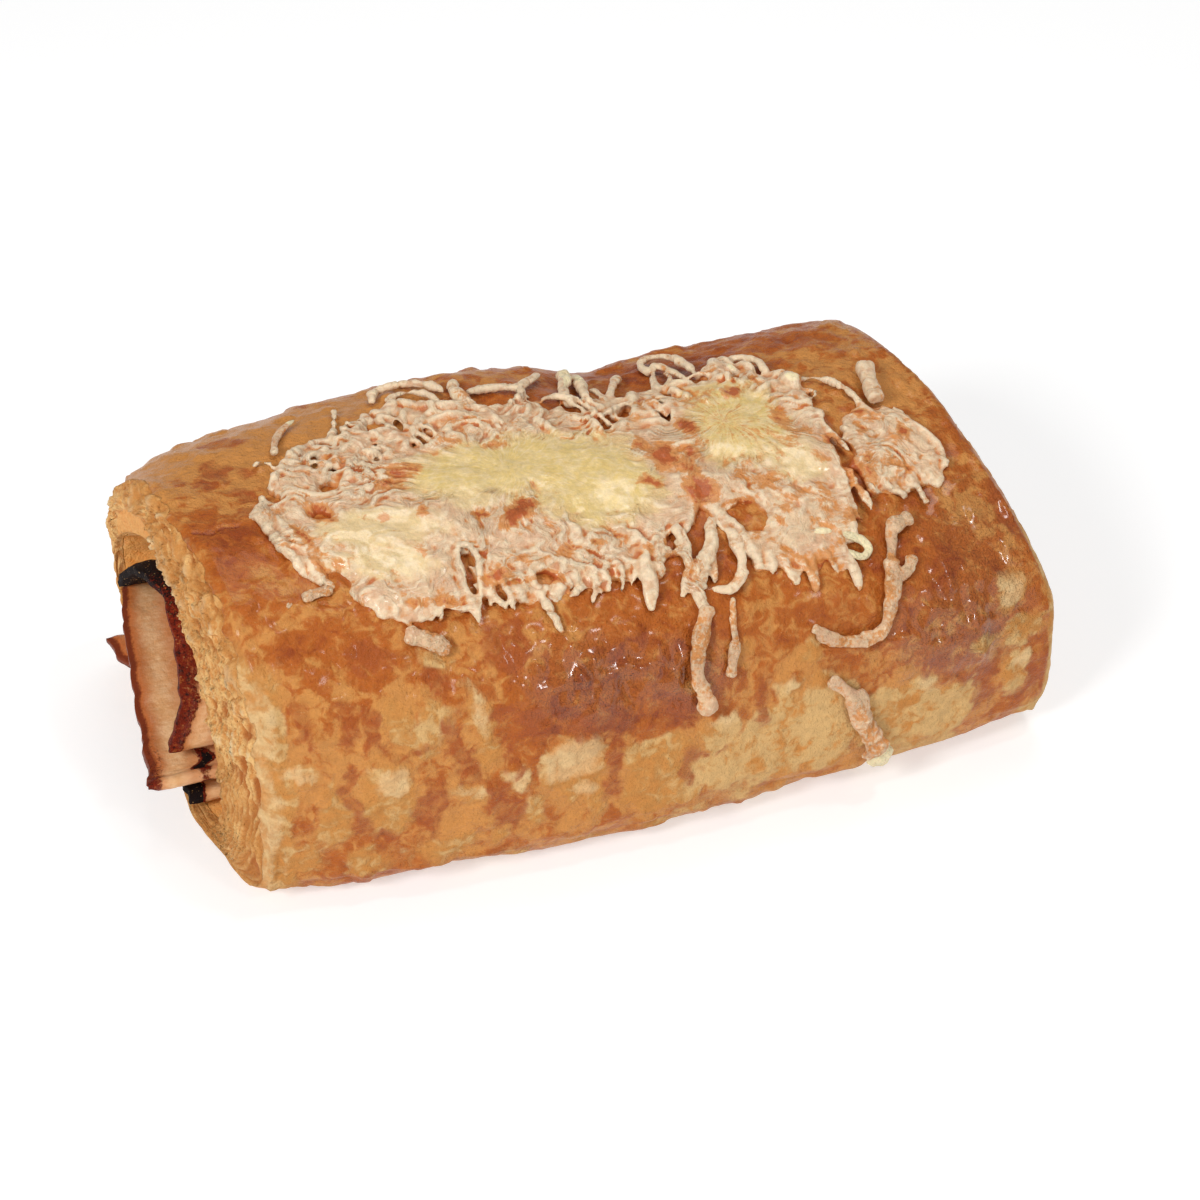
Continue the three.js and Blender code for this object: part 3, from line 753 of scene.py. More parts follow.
def ham_finish(look):
    """Cooked ham: pale face, orange towards the cut edge, partly browning and partly painted shade,
    an orange band further in as painted shade of the curled face, brown rim and charred corners.
    """
    f = Finish("cooked ham")
    detail = f.detail(0.35, 1.1, 4.0)
    fine = f.noise(0.5, 4, 0.7)
    grainy = f.less(fine, 0.5)
    depth = f.plus(f.field("rim"), f.times(grainy, 1.2))
    streaks = f.noise(0.6, 3, 0.6, 0.3, (0.35, 1, 1))
    face = f.blend(f.step(f.plus(detail["Blotch"], streaks), 0.7, 1.3), look.ham, look.ham_pale)
    # painted shade: an orange band further in from the edge stands in for the shading of the curled
    # face
    face = f.blend(f.step(depth, 4.6, 7.4, 0.0, 0.5), face, look.ham_orange)
    # orange towards the cut edge: partly browned, partly painted shade of the curled face
    colour = f.blend(f.step(depth, 0.9, 4.2), look.ham_orange, face)
    colour = f.blend(f.step(depth, 0.7, 1.3), look.ham_rim, colour)
    burnt = f.plus(f.field("char"), f.times(grainy, 0.8))
    gritty = f.noise(0.9, 5, 0.75)
    red = f.blend(f.step(gritty, 0.34, 0.52), look.ham_char, look.ham_red)
    red = f.blend(f.step(gritty, 0.54, 0.68), red, look.ham_orange)
    colour = f.blend(f.step(burnt, 0.22, 0.42), colour, red)
    colour = f.blend(f.step(burnt, 0.62, 0.78), colour, look.ham_char)
    crumbs = f.times(f.step(f.noise(0.5, 2, 0.5), 0.66, 0.72), f.field("char"))
    colour = f.blend(f.times(crumbs, 0.7), colour, look.face)
    relief = f.bump(detail["Height"], 0.14)
    relief = f.bump(f.times(gritty, f.step(burnt, 0.2, 0.6, 0.1, 1.0)), 0.7, relief)
    edge = f.step(f.field("rim"), 0.2, 2.0, 0.62, 0.36)
    f.set(base_color=colour, normal=relief, roughness=f.step(burnt, 0.3, 0.7, 0.4, 0.8),
          coat_weight=f.times(f.step(edge, 0.36, 0.62, 0.5, 0.1),
                              f.step(burnt, 0.25, 0.6, 1.0, 0.05)), coat_roughness=0.22,
          specular_ior_level=0.08)
    return f.material


def flake_finish(look):
    """Loose leaves and crumbs of dough."""
    f = Finish("dough flake")
    detail = f.detail(0.3, 1.0, 2.5)
    f.set(base_color=f.blend(f.step(detail["Blotch"], 0.35, 0.65), look.face, look.dry),
          roughness=f.step(detail["Blotch"], 0, 1, 0.5, 0.75),
          normal=f.bump(detail["Height"], 0.12))
    return f.material


def floor_finish(look):
    f = Finish("studio floor")
    cloud = f.noise(90, 1, 0.4)
    f.set(base_color=f.blend(cloud, look.floor, [c * 0.995 for c in look.floor]), roughness=0.9,
          specular_ior_level=0.1, emission_color=(1, 1, 1, 1), emission_strength=look.glow)
    return f.material


# ------------------------------------------------------------------ dough
# How the crust was baked, as seen: place along X, place round the section from the crown,
# half width, half depth and turn in degrees
DRY_PATCHES = (
    (-45, 59.5, 5, 7, 0), (-53.6, 61, 2.4, 5.5, 5), (-58.7, 52.5, 2.6, 1.7, 10),
    (-62.9, 58, 2.0, 19, 2), (-37.5, 48.5, 3.0, 4.6, 40), (-42.5, 46, 2.2, 4, 0),
    (-29.7, 50, 1.7, 7, -5), (-32.5, 60.5, 3, 1.5, 10), (-24.3, 60.3, 2.2, 2.4, 0),
    (-22, 66.3, 1.8, 3, 0), (-15, 58, 5, 4.5, 5), (-14, 63.5, 4.2, 3, 0), (-11.5, 66.5, 1.5, 3, 0),
    (-1, 63.5, 6.5, 7.2, 0), (9, 64.5, 4, 5.5, 0), (8.5, 57.5, 3, 2.2, 0), (17.5, 63, 6, 7.4, 0),
    (19.5, 54.5, 2.2, 3.6, 0), (26, 61, 5.5, 9.4, 5), (37.5, 62.8, 6.5, 6.6, 0),
    (46, 63.5, 5, 6, 0), (42, 56.8, 2.6, 2, 0), (57.3, 44.5, 2.2, 3.8, 15),
    (52.5, 52, 2.4, 1.5, -25), (59, 51.8, 4, 2.3, 0), (58, 59.5, 2.6, 5, 5),
    (-27, 69.5, 1.2, 2.5, 20), (-57.5, 69, 2.4, 3, 0), (-35.5, 70.5, 2.6, 1.6, 0),
    (-49, 71, 3, 2.2, 0), (24, 47.5, 1.6, 2.2, 20), (-34.5, 37.6, 2.4, 1.3, 25))
# Bubbles and pips of the crust: place, radius and height
CRUST_BUBBLES = (
    (-55.4, 26.3, 0.9, 0.5), (-49.2, 21, 0.6, 0.35), (-52, 14, 0.7, 0.25), (-56, 36, 1.6, 0.3),
    (-29.2, 67, 0.8, 0.5), (20.9, 51.8, 0.9, 0.5), (60, 46, 0.5, 0.4), (47, 60, 0.7, 0.3),
    (13.8, 45.5, 1.6, 0.4), (-5, 38, 2.2, 0.4), (52, -14, 2.6, 0.5), (-58, -10, 2.4, 0.5))

CREAM_PATCHES = (
    (-15, 57.3, 4.6, 3.4, 0), (-24.3, 60.4, 2, 2.2, 0), (-32.5, 60.4, 2.6, 1.2, 10),
    (57.3, 44.2, 1.8, 3.2, 15), (43, 57, 2.2, 1.6, 0), (-44, 56, 3.2, 2.4, 0),
    (8.5, 56, 2.4, 1.2, 0), (-14, 64, 1.6, 1.6, 0), (-59, 52.5, 2.2, 1.2, 10),
    (-63.5, 57, 1.0, 18, 2), (59, 57, 1.6, 2.2, 0), (20, 52, 1.4, 1.6, 0), (-29.8, 47, 1, 4, 0))
DARK_STREAKS = (
    (-51, 55.8, 1.2, 3, 5), (-49.8, 60.5, 1.4, 3.4, -20), (-48.5, 64.5, 1.3, 2.5, -20),
    (-38, 62.3, 2.1, 5, 3), (-33.6, 52.2, 1.9, 3.4, -15), (-32, 57.2, 1.2, 2.6, -20),
    (-34, 48.5, 1.1, 1.6, 0), (-27, 62.5, 2.4, 4, -15), (-25.3, 66, 2.3, 2.8, 0),
    (-25, 56, 0.8, 4.5, 0), (-26.2, 48.2, 1.5, 1.7, -30), (-45.3, 67.6, 1.8, 0.9, 35),
    (-45.6, 69.4, 0.8, 1.3, 10), (-8.6, 60, 1.6, 8, 0), (3.2, 63.6, 1.3, 4, 5),
    (5.5, 61.5, 1.4, 0.8, 0), (9, 62.3, 1.3, 0.6, -30), (-44.5, 36.6, 3.4, 2.4, 10),
    (-23.5, 38, 4.4, 3.2, 20), (-22, 49.8, 3.2, 1.2, -15), (15.7, 54.5, 0.9, 4.2, 5),
    (52.6, 61, 1.5, 5.5, -3), (-50.8, 45.6, 1.4, 3.3, 0), (-47.4, 46.8, 1.7, 4.2, -10),
    (-57.8, 43.5, 1.5, 3.4, -15), (-56.5, 48, 0.8, 1.6, 0), (3, 53.4, 3.4, 2.2, 0),
    (-14.5, 52, 2.6, 1.8, 0), (62.5, 61, 1.8, 5, 10), (-50, -16, 3.4, 2.0, 30),
    (-54, -6.5, 2.0, 3.4, 0), (-52.5, 0.5, 1.8, 2.1, 0), (-56.5, -3.4, 1.6, 1.3, 0),
    (-53, 5.5, 1.9, 1.5, 0), (-49.5, -5, 1.4, 1.9, 0), (-57, 15, 1.6, 2, 20),
    (-36, 41.5, 2.6, 1.4, 30), (44, 53, 4, 1.6, -8), (-40.5, 51.5, 4, 0.7, 4), (62, 30, 1.2, 6, 0))

# Browning in broad drifts, dark behind the melt and under it, light at the top right, and light at
# the top left, there partly paler glaze and partly a painted highlight where the main light falls:
# place along X, place round the section, half width, half depth and amount
BROWN_AND_HIGHLIGHT_DRIFTS = (
    (-12, 43, 16, 9, 0.65), (6, 50, 12, 6, 0.6), (48, 38, 13, 10, 0.7), (28, -23, 22, 7, 0.6),
    (64, 12, 3, 16, 0.9), (-45, 36, 7, 3, 0.5), (53, -11, 14, 12, -0.9), (-56, 10, 7, 10, 0.8),
    (-55, 24, 12, 12, 0.2), (-52, 52, 14, 12, -0.8), (-20, 64, 40, 9, -0.35),
    (30, 64, 40, 9, -0.35), (42, 52, 14, 8, -0.6), (62, 8, 9, 22, -0.6), (58, 40, 10, 12, -0.3),
    (18, 47, 8, 9, -0.3), (-46, -14, 22, 13, -2.6), (-30, -24, 22, 6, -0.6))
# Where the wash has pooled, and where the wrinkled skin shines, in the same order
WASH_POOLS = ((-9, 51.5, 5.5, 4.5, 1.0), (2, 54, 5, 3, 0.7), (19, -23, 14, 4, 0.8),
              (48, 50, 7, 5, 0.4))
SHINES = ((-12, 45, 9, 6, 1), (4, 47, 6, 5, 1), (47, 49, 10, 7, 1), (55, 35, 9, 12, 0.6))
SPOT_SQUARE = 2.6       # outline of a patch: 2 is an ellipse, more is squarer

# The skin of the dough: points round it, and rows along the outside and on the end faces
AROUND = 300
OUTER_ROWS = 200
LEFT_ROWS, RIGHT_ROWS = 60, 34
PASSAGE_ROWS_AT = (64, 62.5, 61, 59, 57, 55, 53, 49, 40, 20, -10, -30, -43, -46, -48.5, -51, -53,
                   -55, -57, -58.5, -60, -61.2, -62.4, -63.3, -64.1)
# How far an end face stands out, from the outer edge (0) to the passage (1)
FACE_BULGE = ((0, 0.03, 0.12, 0.32, 0.6, 0.93, 1), (-1.4, -0.6, 0, 0.64, 0.8, 0.3, -1))
# Edge of a layer across the front, crack at the left end, and pitch of the torn layers, mm
FRONT_LAYER_S, FRONT_LAYER_X = 52.2, -45
CRACK_S, CRACK_WIDE, CRACK_DEEP = 9.6, 0.4, 0.55
LAYER_PITCH = 1.5
POINT_APART = 0.75      # mean distance of the points round the dough, mm
TORN_RIGHT = 0.4        # how torn the right face is, against the left one


def ring_places():
    """Shares of the way round the section, closer together where the roll is seen."""
    share = np.linspace(0, 1, 2001)
    density = (0.42 + 1.1 * (1 - ramp(share, 0.31, 0.37)) + 0.45 * ramp(share, 0.63, 0.69)
               + 0.5 * ramp(share, 0.85, 1.0))
    total = np.concatenate([[0], np.cumsum((density[1:] + density[:-1]) / 2)])
    return np.interp(np.arange(AROUND) / AROUND * total[-1], total, share)


def outer_ring(x, shares):
    length, y, z = section(x)
    s = shares * length[-1]
    place = np.where(s > length[-1] / 2, s - length[-1], s)
    return np.interp(s, length, y), np.interp(s, length, z), place


def passage_ring(x, shares):
    w = opening(x)
    loop = mix(np.array(SLOT, float), np.array(MOUTH, float), w)
    line = spline(loop, 1700, closed=True)
    k = shares * len(line)
    i = k.astype(int)
    f = (k - i)[:, None]
    p = line[i % len(line)] * (1 - f) + line[(i + 1) % len(line)] * f
    return p[:, 0], p[:, 1]


def patches(x, s, table, seed, ragged=1.0):
    """Depth in mm inside the nearest of many ragged patches, negative outside them all."""
    flat = plane(x, s)
    coarse, small = (3.4, 3.4, 1), (1.2, 1.2, 1)
    u = x + ragged * (0.9 * grain(flat, coarse, seed, 2) + 0.5 * grain(flat, small, seed + 1, 1))
    v = s + ragged * (0.9 * grain(flat, coarse, seed + 2, 2)
                      + 0.5 * grain(flat, small, seed + 3, 1))
    depth = np.full(x.shape, -3.0)
    for spot in table:
        a, b = turned(u, v, spot)
        reach = (np.abs(a) ** SPOT_SQUARE + np.abs(b) ** SPOT_SQUARE) ** (1 / SPOT_SQUARE)
        depth = np.maximum(depth, (1 - reach) * min(spot[2:4]))
    return depth


def crust_fields(x, s):
    """How the outside was baked, at places on the crust; patch depths in mm."""
    flat = plane(x, s)
    rng = np.random.default_rng(23)
    behind = [(rng.uniform(-60, 60), rng.uniform(-100, -46), rng.uniform(1.5, 5.5),
               rng.uniform(1.5, 5), rng.uniform(-40, 40)) for _ in range(46)]
    streaky = [(rng.uniform(-60, 60), rng.uniform(-98, -34), rng.uniform(0.8, 2.4),
                rng.uniform(1.5, 4.5), rng.uniform(-25, 25)) for _ in range(34)]
    dry = patches(x, s, DRY_PATCHES + tuple(behind), 5)
    dry = np.maximum(dry, 1.5 * grain(flat, (9, 7, 1), 12, 3) - 2.4 + 1.9 * ramp(s, 62, 70))
    cream = patches(x, s, CREAM_PATCHES + tuple(behind[::6]), 5)
    dark = patches(x, s, DARK_STREAKS + tuple(streaky), 9)
    brown = 0.55 * grain(flat, (17, 13, 1), 33, 3) + 0.35 * grain(flat, (5, 6, 1), 35, 3)
    brown = brown + spread(x, s, BROWN_AND_HIGHLIGHT_DRIFTS)
    pool = spread(x, s, WASH_POOLS) + 0.35 * grain(flat, (7, 7, 1), 41, 3) - 0.2
    sparkle = spread(x, s, SHINES) + 0.15
    return dry, cream, dark, brown, pool, np.minimum(sparkle, 1)


def pastry_mesh():
    """The whole roll: outside, right face, passage and left face, as one closed skin."""
    shares = ring_places()
    rows = []       # true points
    info = []       # x, s, face share, kind: 0 outside, 1 face, 2 passage

    def add(x, y, z, s, w, kind):
        rows.append(np.stack([lean(x, y, z), y, z], -1))
        info.append(np.stack(np.broadcast_arrays(x * 1.0, s, w, kind * 1.0), -1))

    last = HALF - EDGE_ROUND
    for x in np.linspace(-last, last, OUTER_ROWS):
        y, z, s = outer_ring(x, shares)
        add(x, y, z, s, 0.0, 0)

    def face(side, count):
        oy, oz, s = outer_ring(side * HALF, shares)
        iy, iz = passage_ring(side * HALF, shares)
        out = []
        for w in np.linspace(0.012, 0.97, count):
            bulge = np.interp(w, *FACE_BULGE)
            out.append((side * (HALF + bulge), mix(oy, iy, w), mix(oz, iz, w), s, w, 1))
        return out

    for row in face(1, RIGHT_ROWS):
        add(*row)
    for x in PASSAGE_ROWS_AT:
        y, z = passage_ring(x, shares)
        add(x, y, z, np.zeros(AROUND), 1.0, 2)
    for row in reversed(face(-1, LEFT_ROWS)):
        add(*row)
    return np.array(rows), np.array(info)


def ring_normals(points):
    du = np.roll(points, -1, 0) - np.roll(points, 1, 0)
    dv = np.roll(points, -1, 1) - np.roll(points, 1, 1)
    n = np.cross(du, dv)
    return n / np.maximum(np.linalg.norm(n, axis=-1, keepdims=True), 1e-9)


def end_crack(x, s):
    """1 on the line of the crack that runs in from the left end."""
    line = CRACK_S + 0.6 * np.sin(x / 1.7) + 0.35 * np.sin(x / 0.61)
    return bell((s - line) / CRACK_WIDE) * (1 - ramp(x, -56, -54.5))


def left_edge(x, s):
    """The strip behind the left edge, where the layers open, and the ridges along it."""
    strip = 1 - ramp(x, -62.5, -57.5 + 2 * grain(plane(s, 0.0), (7, 1, 1), 68, 2))
    return strip, grain(plane(x, s, 3.0), (0.9, 7, 1), 69, 2)


def outside_rise(x, s, z, dry, cream, sparkle):
    """Swells, blisters, wrinkles where it shines and dry patches standing proud, in mm."""
    flat = plane(x, s)
    rise = 0.5 * grain(flat, (15, 13, 1), 51, 2) + 0.2 * grain(flat, (5, 5, 1), 53, 2)
    rise = rise + 0.14 * grain(flat, (1.9, 2.2, 1), 57, 2)
    rise = rise + 0.30 * sparkle * grain(flat, (1.7, 3.0, 1), 59, 3, 0.6)
    rise = rise + 1.3 * sparkle * (0.4 - np.abs(grain(flat, (5, 8, 1), 62, 3, 0.55)))
    rise = rise + 0.16 * ramp(dry, -0.6, 0.8) + 0.20 * ramp(cream, -0.6, 0.8) * (
        0.6 + grain(flat, (1.3, 1.3, 1), 60, 2))
    # edges of the layers show low down
    rise = rise + 0.5 * (1 - ramp(z, 4, 13)) * grain(plane(x, z), (17, 1.6, 1), 61, 2)
    rise = rise + 0.40 * ramp(grain(flat, (3.2, 3.2, 1), 67, 1), 0.8, 1.2)
    for bx, bs, wide, high in CRUST_BUBBLES:
        rise = rise + high * bell(np.hypot(x - bx, s - bs) / wide)
    # one more crosses the front
    line = FRONT_LAYER_S + 0.5 * np.sin(x / 2.1)
    return rise + 0.45 * ramp(s, line - 0.3, line + 0.3) * bell((s - line) / 5) * bell(
        (x - FRONT_LAYER_X) / 5.5)


def torn_ends(points, x, w):
    """The torn faces: thin layers that follow the section, feathered and pitted.

    Gives how far they stand out in mm, the layers, where the smooth skin within begins, and
    the ragged edge towards the outside.
    """
    y, z = points[..., 1], points[..., 2]
    outer, inner = outer_ring(-HALF, ring_places()), passage_ring(-HALF, ring_places())
    width = np.hypot(outer[0] - inner[0], outer[1] - inner[1])
    across = w * width
    turn = np.broadcast_to(np.cumsum(np.full(AROUND, POINT_APART)), w.shape)
    wander = 1.9 * grain(plane(turn, across, 3.0), (10, 5, 1), 71, 2)
    layers = np.sin((across + wander) * 2 * np.pi / LAYER_PITCH)
    feather = grain(plane(turn, across + wander, x), (3.6, 0.7, 4), 73, 3, 0.6)
    chips = grain(plane(turn, across + wander, 7.0), (3.6, 1.7, 1), 75, 2, 0.55)
    pits = np.maximum(0, grain(plane(turn, across, 5.0), (6, 1.6, 1), 77, 2) - 0.5)
    # high up the inner part is smooth skin
    lip = mix(0.9, 0.5, ramp(z, 26, 36) * ramp(y, 2, 14))
    lip = lip + 0.05 * grain(plane(turn, 0.0), (5, 1, 1), 84, 2)
    fade = ramp(w, 0.0, 0.10) * (1 - ramp(w, lip - 0.06, lip + 0.06)) * np.minimum(
        1, width / 6) * np.where(x > 0, TORN_RIGHT, 1.0)
    low = 1 - 0.75 * ramp(z, 16, 34)       # clear layers low down, frayed above
    torn = 0.40 * low * layers + (0.85 - 0.55 * low) * feather - 1.6 * pits * (1.2 - low)
    torn = torn + 0.75 * ramp(chips, -0.2, 0.2) * (1.15 - low) + 0.4 * grain(
        plane(turn, across, 2.0), (8, 4, 1), 79, 2)
    ragged = ramp(w + 0.03 * grain(plane(turn, across, 9.0), (5, 5, 1), 85, 2), 0.02, 0.07)
    return torn * fade, layers, ramp(w, lip, lip + 0.07), ragged


def build_pastry(look):
    points, info = pastry_mesh()
    rows, around = points.shape[:2]
    faces = outward(points.reshape(-1, 3), strips(rows, around, closed_rows=True))
    normal = ring_normals(points)
    if normal[OUTER_ROWS // 2, 0, 2] < 0:
        normal = -normal
    x, s, w, kind = (info[..., k] for k in range(4))
    outside, face, passage = kind == 0, kind == 1, kind == 2
    dry, cream, dark, brown, pool, sparkle = crust_fields(x, s)
    crack = end_crack(x, s) * outside
    edge, ridges = left_edge(x, s)
    edge = edge * outside

    rise = outside_rise(x, s, points[..., 2], dry, cream, sparkle)
    rise = rise + 0.42 * edge * ridges * ramp(s, 30, 42)
    rise = (rise - CRACK_DEEP * crack) * outside * ramp(points[..., 2], 0.2, 5)
    torn, layers, skin, ragged = torn_ends(points, x, w)
    torn = torn * face
    fold = 0.3 * grain(points, (9, 4, 4), 81, 2) * passage * (1 - ramp(np.abs(x), 30, 20))
    points = points + normal * (rise + torn + fold)[..., None]
    points[..., 2] = np.maximum(points[..., 2], 0)

    mesh = to_mesh("pastry", points.reshape(-1, 3), faces.tolist())
    z = points[..., 2]
    browned = np.maximum(ramp(z, 30, 44), 1.3 * (1 - ramp(z, 14, 26)))
    browned = np.maximum(browned, 1.0 * (x > 0)) * face
    fields = {
        "dry": np.where(outside, np.maximum(dry, 3 * edge * ramp(s, 32, 42) - 1),
                        mix(-0.4, 1.2, ramp(s, 28, 40))),
        "cream": np.where(outside, np.maximum(cream, 1.6 * edge * ramp(s, 36, 42)
                                              - 1.7 + 0.8 * ridges),
                          mix(-1.0, 0.2, ramp(s, 30, 42))),
        "dark": np.where(outside, dark, -3), "brown": brown, "pool": pool * outside,
        "sparkle": sparkle * outside, "bare": 0.16 * ramp(x, 0, 12) * ramp(s, 50, 56),
        # on the torn faces, low places get painted shade and raised flakes a painted highlight from
        # this field
        "face": ragged * face, "layer": layers * face, "cavity": np.where(face, -torn * 0.5, 0),
        "toasted": browned * (0.9 + 0.6 * grain(points, (4, 4, 4), 83, 2)),
        "inside": np.where(passage, 1.0, 0.52 * skin * face), "slit": crack,
        "foot": (1 - ramp(z, 0.5, 3)) * outside,
    }
    give_fields(mesh, {name: values.ravel() for name, values in fields.items()})
    return finish_piece("pastry_crust", mesh, crust_finish(look), ("pastry",))


# ------------------------------------------------------------------ ham
HAM_ACROSS = 110        # points across a slice
# Rows of a slice: how far in from its left and right free edges, and those in between
HAM_LEFT_ROWS = np.concatenate([np.linspace(0, 12, 34), np.linspace(13, 26, 14)])
HAM_RIGHT_ROWS = np.concatenate([np.linspace(0, 9, 20), np.linspace(10, 20, 8)])
HAM_MIDDLE_AT = (-30, -5, 20, 38)
HAM_WITHIN = 20.0       # how far in the rows between count as lying


def ham_line(slice_, x):
    """Middle line across a slice, at the places x along the roll, and the way out of it."""
    w = np.array([opening(float(np.clip(a, -HALF, HALF))) for a in (x[0], x[-1])])
    w = np.interp(x, *((x[[0, -1]], w) if x[-1] > x[0] else (x[[-1, 0]], w[::-1])))
    line = mix(*(spline(slice_[k], HAM_ACROSS) for k in ("slot", "mouth")), w[:, None])
    tangent = np.gradient(line, axis=0)
    tangent /= np.linalg.norm(tangent, axis=1, keepdims=True)
    out = np.stack([tangent[:, 1], -tangent[:, 0]], -1)
    return line, out * (np.sign(out[:, 1].mean()) or 1)


def ham_mesh(name, seed):
    slice_ = HAM[name]
    v = np.linspace(0, 1, HAM_ACROSS)
    stand_left = (slice_["left"](v) + 0.35 * grain(plane(v * 60, seed), (4, 1, 1), seed, 2)
                  + 0.12 * grain(plane(v * 60, seed), (2, 1, 1), seed + 1, 1))
    stand_right = slice_["right"](v) + 0.3 * grain(plane(v * 60, seed + 9), (3, 1, 1), seed, 2)
    # end of the roll, or 0 between them, and how far in from the free edge, or place along X
    stations = ([(-1, d) for d in HAM_LEFT_ROWS] + [(0, x) for x in HAM_MIDDLE_AT]
                + [(1, d) for d in HAM_RIGHT_ROWS[::-1]])
    top, under, rim, burn = [], [], [], []
    for side, d in stations:
        if side:
            x = side * (HALF + (stand_left if side < 0 else stand_right) - d)
        else:
            x, d = np.full(HAM_ACROSS, float(d)), HAM_WITHIN
        line, out = ham_line(slice_, x)
        thick = HAM_THICK / 2 * (0.62 + 0.38 * ramp(d, 0, 1.6))
        thick = thick * (0.55 + 0.45 * np.minimum(ramp(v, -0.01, 0.03), 1 - ramp(v, 0.97, 1.01)))
        spot = plane(x, v * 45.0)
        wave = 0.28 * grain(spot, (5, 6, 1), seed + 3, 2) * (1.0 if side else 0.3)
        wave = wave * ramp(7 - d, 0, 5)
        curl = 0.12 * grain(spot, (0.9, 0.9, 1), seed + 5, 2)
        for sheet, sign in ((top, 1), (under, -1)):
            p = line + out * (sign * thick + wave + sign * curl * 0.5)[:, None]
            sheet.append(np.stack([lean(x, p[:, 0], p[:, 1]), p[:, 0], p[:, 1]], -1))
        rim.append(np.full(HAM_ACROSS, d))
        baked = mix(*slice_["baked"], v)
        near = 1 - ramp(d, baked * 0.55, baked)
        corner = np.interp(v, (0, 0.12, 0.3, 0.7, 1), slice_["char"])
        burn.append(near * corner * (1.0 if side < 0 else 0.5))
        if slice_["scorch"] and side < 0:
            deep, along_v, amount = slice_["scorch"]
            burn[-1] = np.maximum(burn[-1], amount * bell(
                (d - deep - 0.6 * np.sin(40 * v)) / 1.2) * bell((v - along_v) / 0.11))
    top, under = np.array(top), np.array(under)[:, ::-1]
    rows, n = len(stations), 2 * HAM_ACROSS
    points = np.concatenate([top, under], axis=1).reshape(-1, 3)
    faces = strips(rows, n).tolist()
    for r, turn in ((0, False), (rows - 1, True)):
        for k in range(HAM_ACROSS - 1):
            quad = [r * n + k, r * n + k + 1, r * n + n - 2 - k, r * n + n - 1 - k]
            faces.append(quad[::-1] if turn else quad)
    faces = outward(points, faces)
    rim, burn = np.array(rim), np.array(burn)
    fields = {"rim": np.concatenate([rim, rim[:, ::-1]], 1).ravel(),
              "char": np.concatenate([burn, burn[:, ::-1]], 1).ravel()}
    return points, faces, fields


def build_ham(look):
    material = ham_finish(look)
    made = []
    for seed, name in enumerate(HAM, 201):
        points, faces, fields = ham_mesh(name, seed)
        mesh = to_mesh(name, points, faces.tolist())
        give_fields(mesh, fields)
        made.append(finish_piece("slice_" + name, mesh, material, (name,)))
    return made


# ------------------------------------------------------------------ cheese
SHRED_STEP = 0.9        # length of one step of a shred's path, mm
SUNK = 0.8              # how deep a film's underside lies in the crust, mm
PATCH_GRID, STRAND_GRID = 0.3, 0.22      # cells of the skins of the small pieces, mm


def bar(path, radii, flat=0.8, sides=9):
    """A closed bar along points in mm, lying flat against the crust."""
    path, radii = np.asarray(path, float), np.asarray(radii, float)
    tangent = np.gradient(path, axis=0)
    tangent /= np.maximum(np.linalg.norm(tangent, axis=1, keepdims=True), 1e-9)
    _, s, _ = place_on_crust(path)
    x = path[:, 0]
    up = crust_normal(x, s)
    side = np.cross(tangent, up)
    side /= np.maximum(np.linalg.norm(side, axis=1, keepdims=True), 1e-9)
    up = np.cross(side, tangent)
    turn = 2 * np.pi * np.arange(sides) / sides
    ring = (path[:, None] + radii[:, None, None] * (
        np.cos(turn)[None, :, None] * side[:, None] + flat * np.sin(turn)[None, :, None]
        * up[:, None]))
    points = np.concatenate([ring.reshape(-1, 3), path[:1], path[-1:]])
    faces = [list(f) for f in strips(len(path), sides)]
    first, last = len(path) * sides, len(path) * sides + 1
    for k in range(sides):
        m = (k + 1) % sides
        faces.append([first, k, m])
        faces.append([last, (len(path) - 1) * sides + m, (len(path) - 1) * sides + k])
    return points, faces


def join(bodies):
    """Several bodies as one list of points and faces."""
    points, faces, start = [], [], 0
    for p, f in bodies:
        points.append(p)
        faces += [[start + k for k in face] for face in f]
        start += len(p)
    return np.concatenate(points), faces


def fuse(name, bodies, grid, ease):
    """Melts closed bodies into one skin with cells of the given size in mm."""
    mesh = to_mesh(name, *join(bodies))
    rough = bpy.data.objects.new(name + "_rough", mesh)
    bpy.context.scene.collection.objects.link(rough)
    melt = rough.modifiers.new("melt together", "REMESH")
    melt.mode = "VOXEL"
    melt.voxel_size = grid * MM
    soften = rough.modifiers.new("soften", "SMOOTH")
    soften.factor, soften.iterations = 0.5, ease
    graph = bpy.context.evaluated_depsgraph_get()
    result = bpy.data.meshes.new_from_object(rough.evaluated_get(graph))
    bpy.data.objects.remove(rough)
    bpy.data.meshes.remove(mesh)
    if len(result.polygons) < 50:
        raise RuntimeError(f"{name}: the shreds did not melt together")
    return result


def shred(rng, x, s, heading, length, wiggle, radius, lift, bend=0.0, droop=0.6):
    """A shred of grated cheese that lies over the crust from (x, s)."""
    n = max(4, int(length / SHRED_STEP))
    xs, ss = [x], [s]
    for _ in range(n):
        heading += rng.normal(0, wiggle) + bend
        xs.append(xs[-1] + SHRED_STEP * math.cos(heading))
        ss.append(ss[-1] + SHRED_STEP * math.sin(heading))
    t = np.linspace(0, 1, n + 1)
    high = lift * (0.6 + 0.8 * np.sin(np.pi * np.clip(t * 1.1, 0, 1)) ** 0.8)
    high = high * (1 - droop * np.abs(2 * t - 1) ** 3)
    radii = radius * (0.85 + 0.3 * rng.random()) * (1 - 0.15 * rng.random(n + 1))
    radii = radii * np.minimum(1, 0.45 + 2.2 * np.minimum(t, 1 - t) * n / 5)
    return np.array(xs), np.array(ss), high, radii


def lay(strand, flat=0.78):
    xs, ss, high, radii = strand
    line = spline(np.stack([xs, ss, high, radii], -1), len(xs) * 2)
    return bar(on_crust(line[:, 0], line[:, 1], line[:, 2] + 0.35 * line[:, 3]),
               np.maximum(line[:, 3], 0.12), flat)


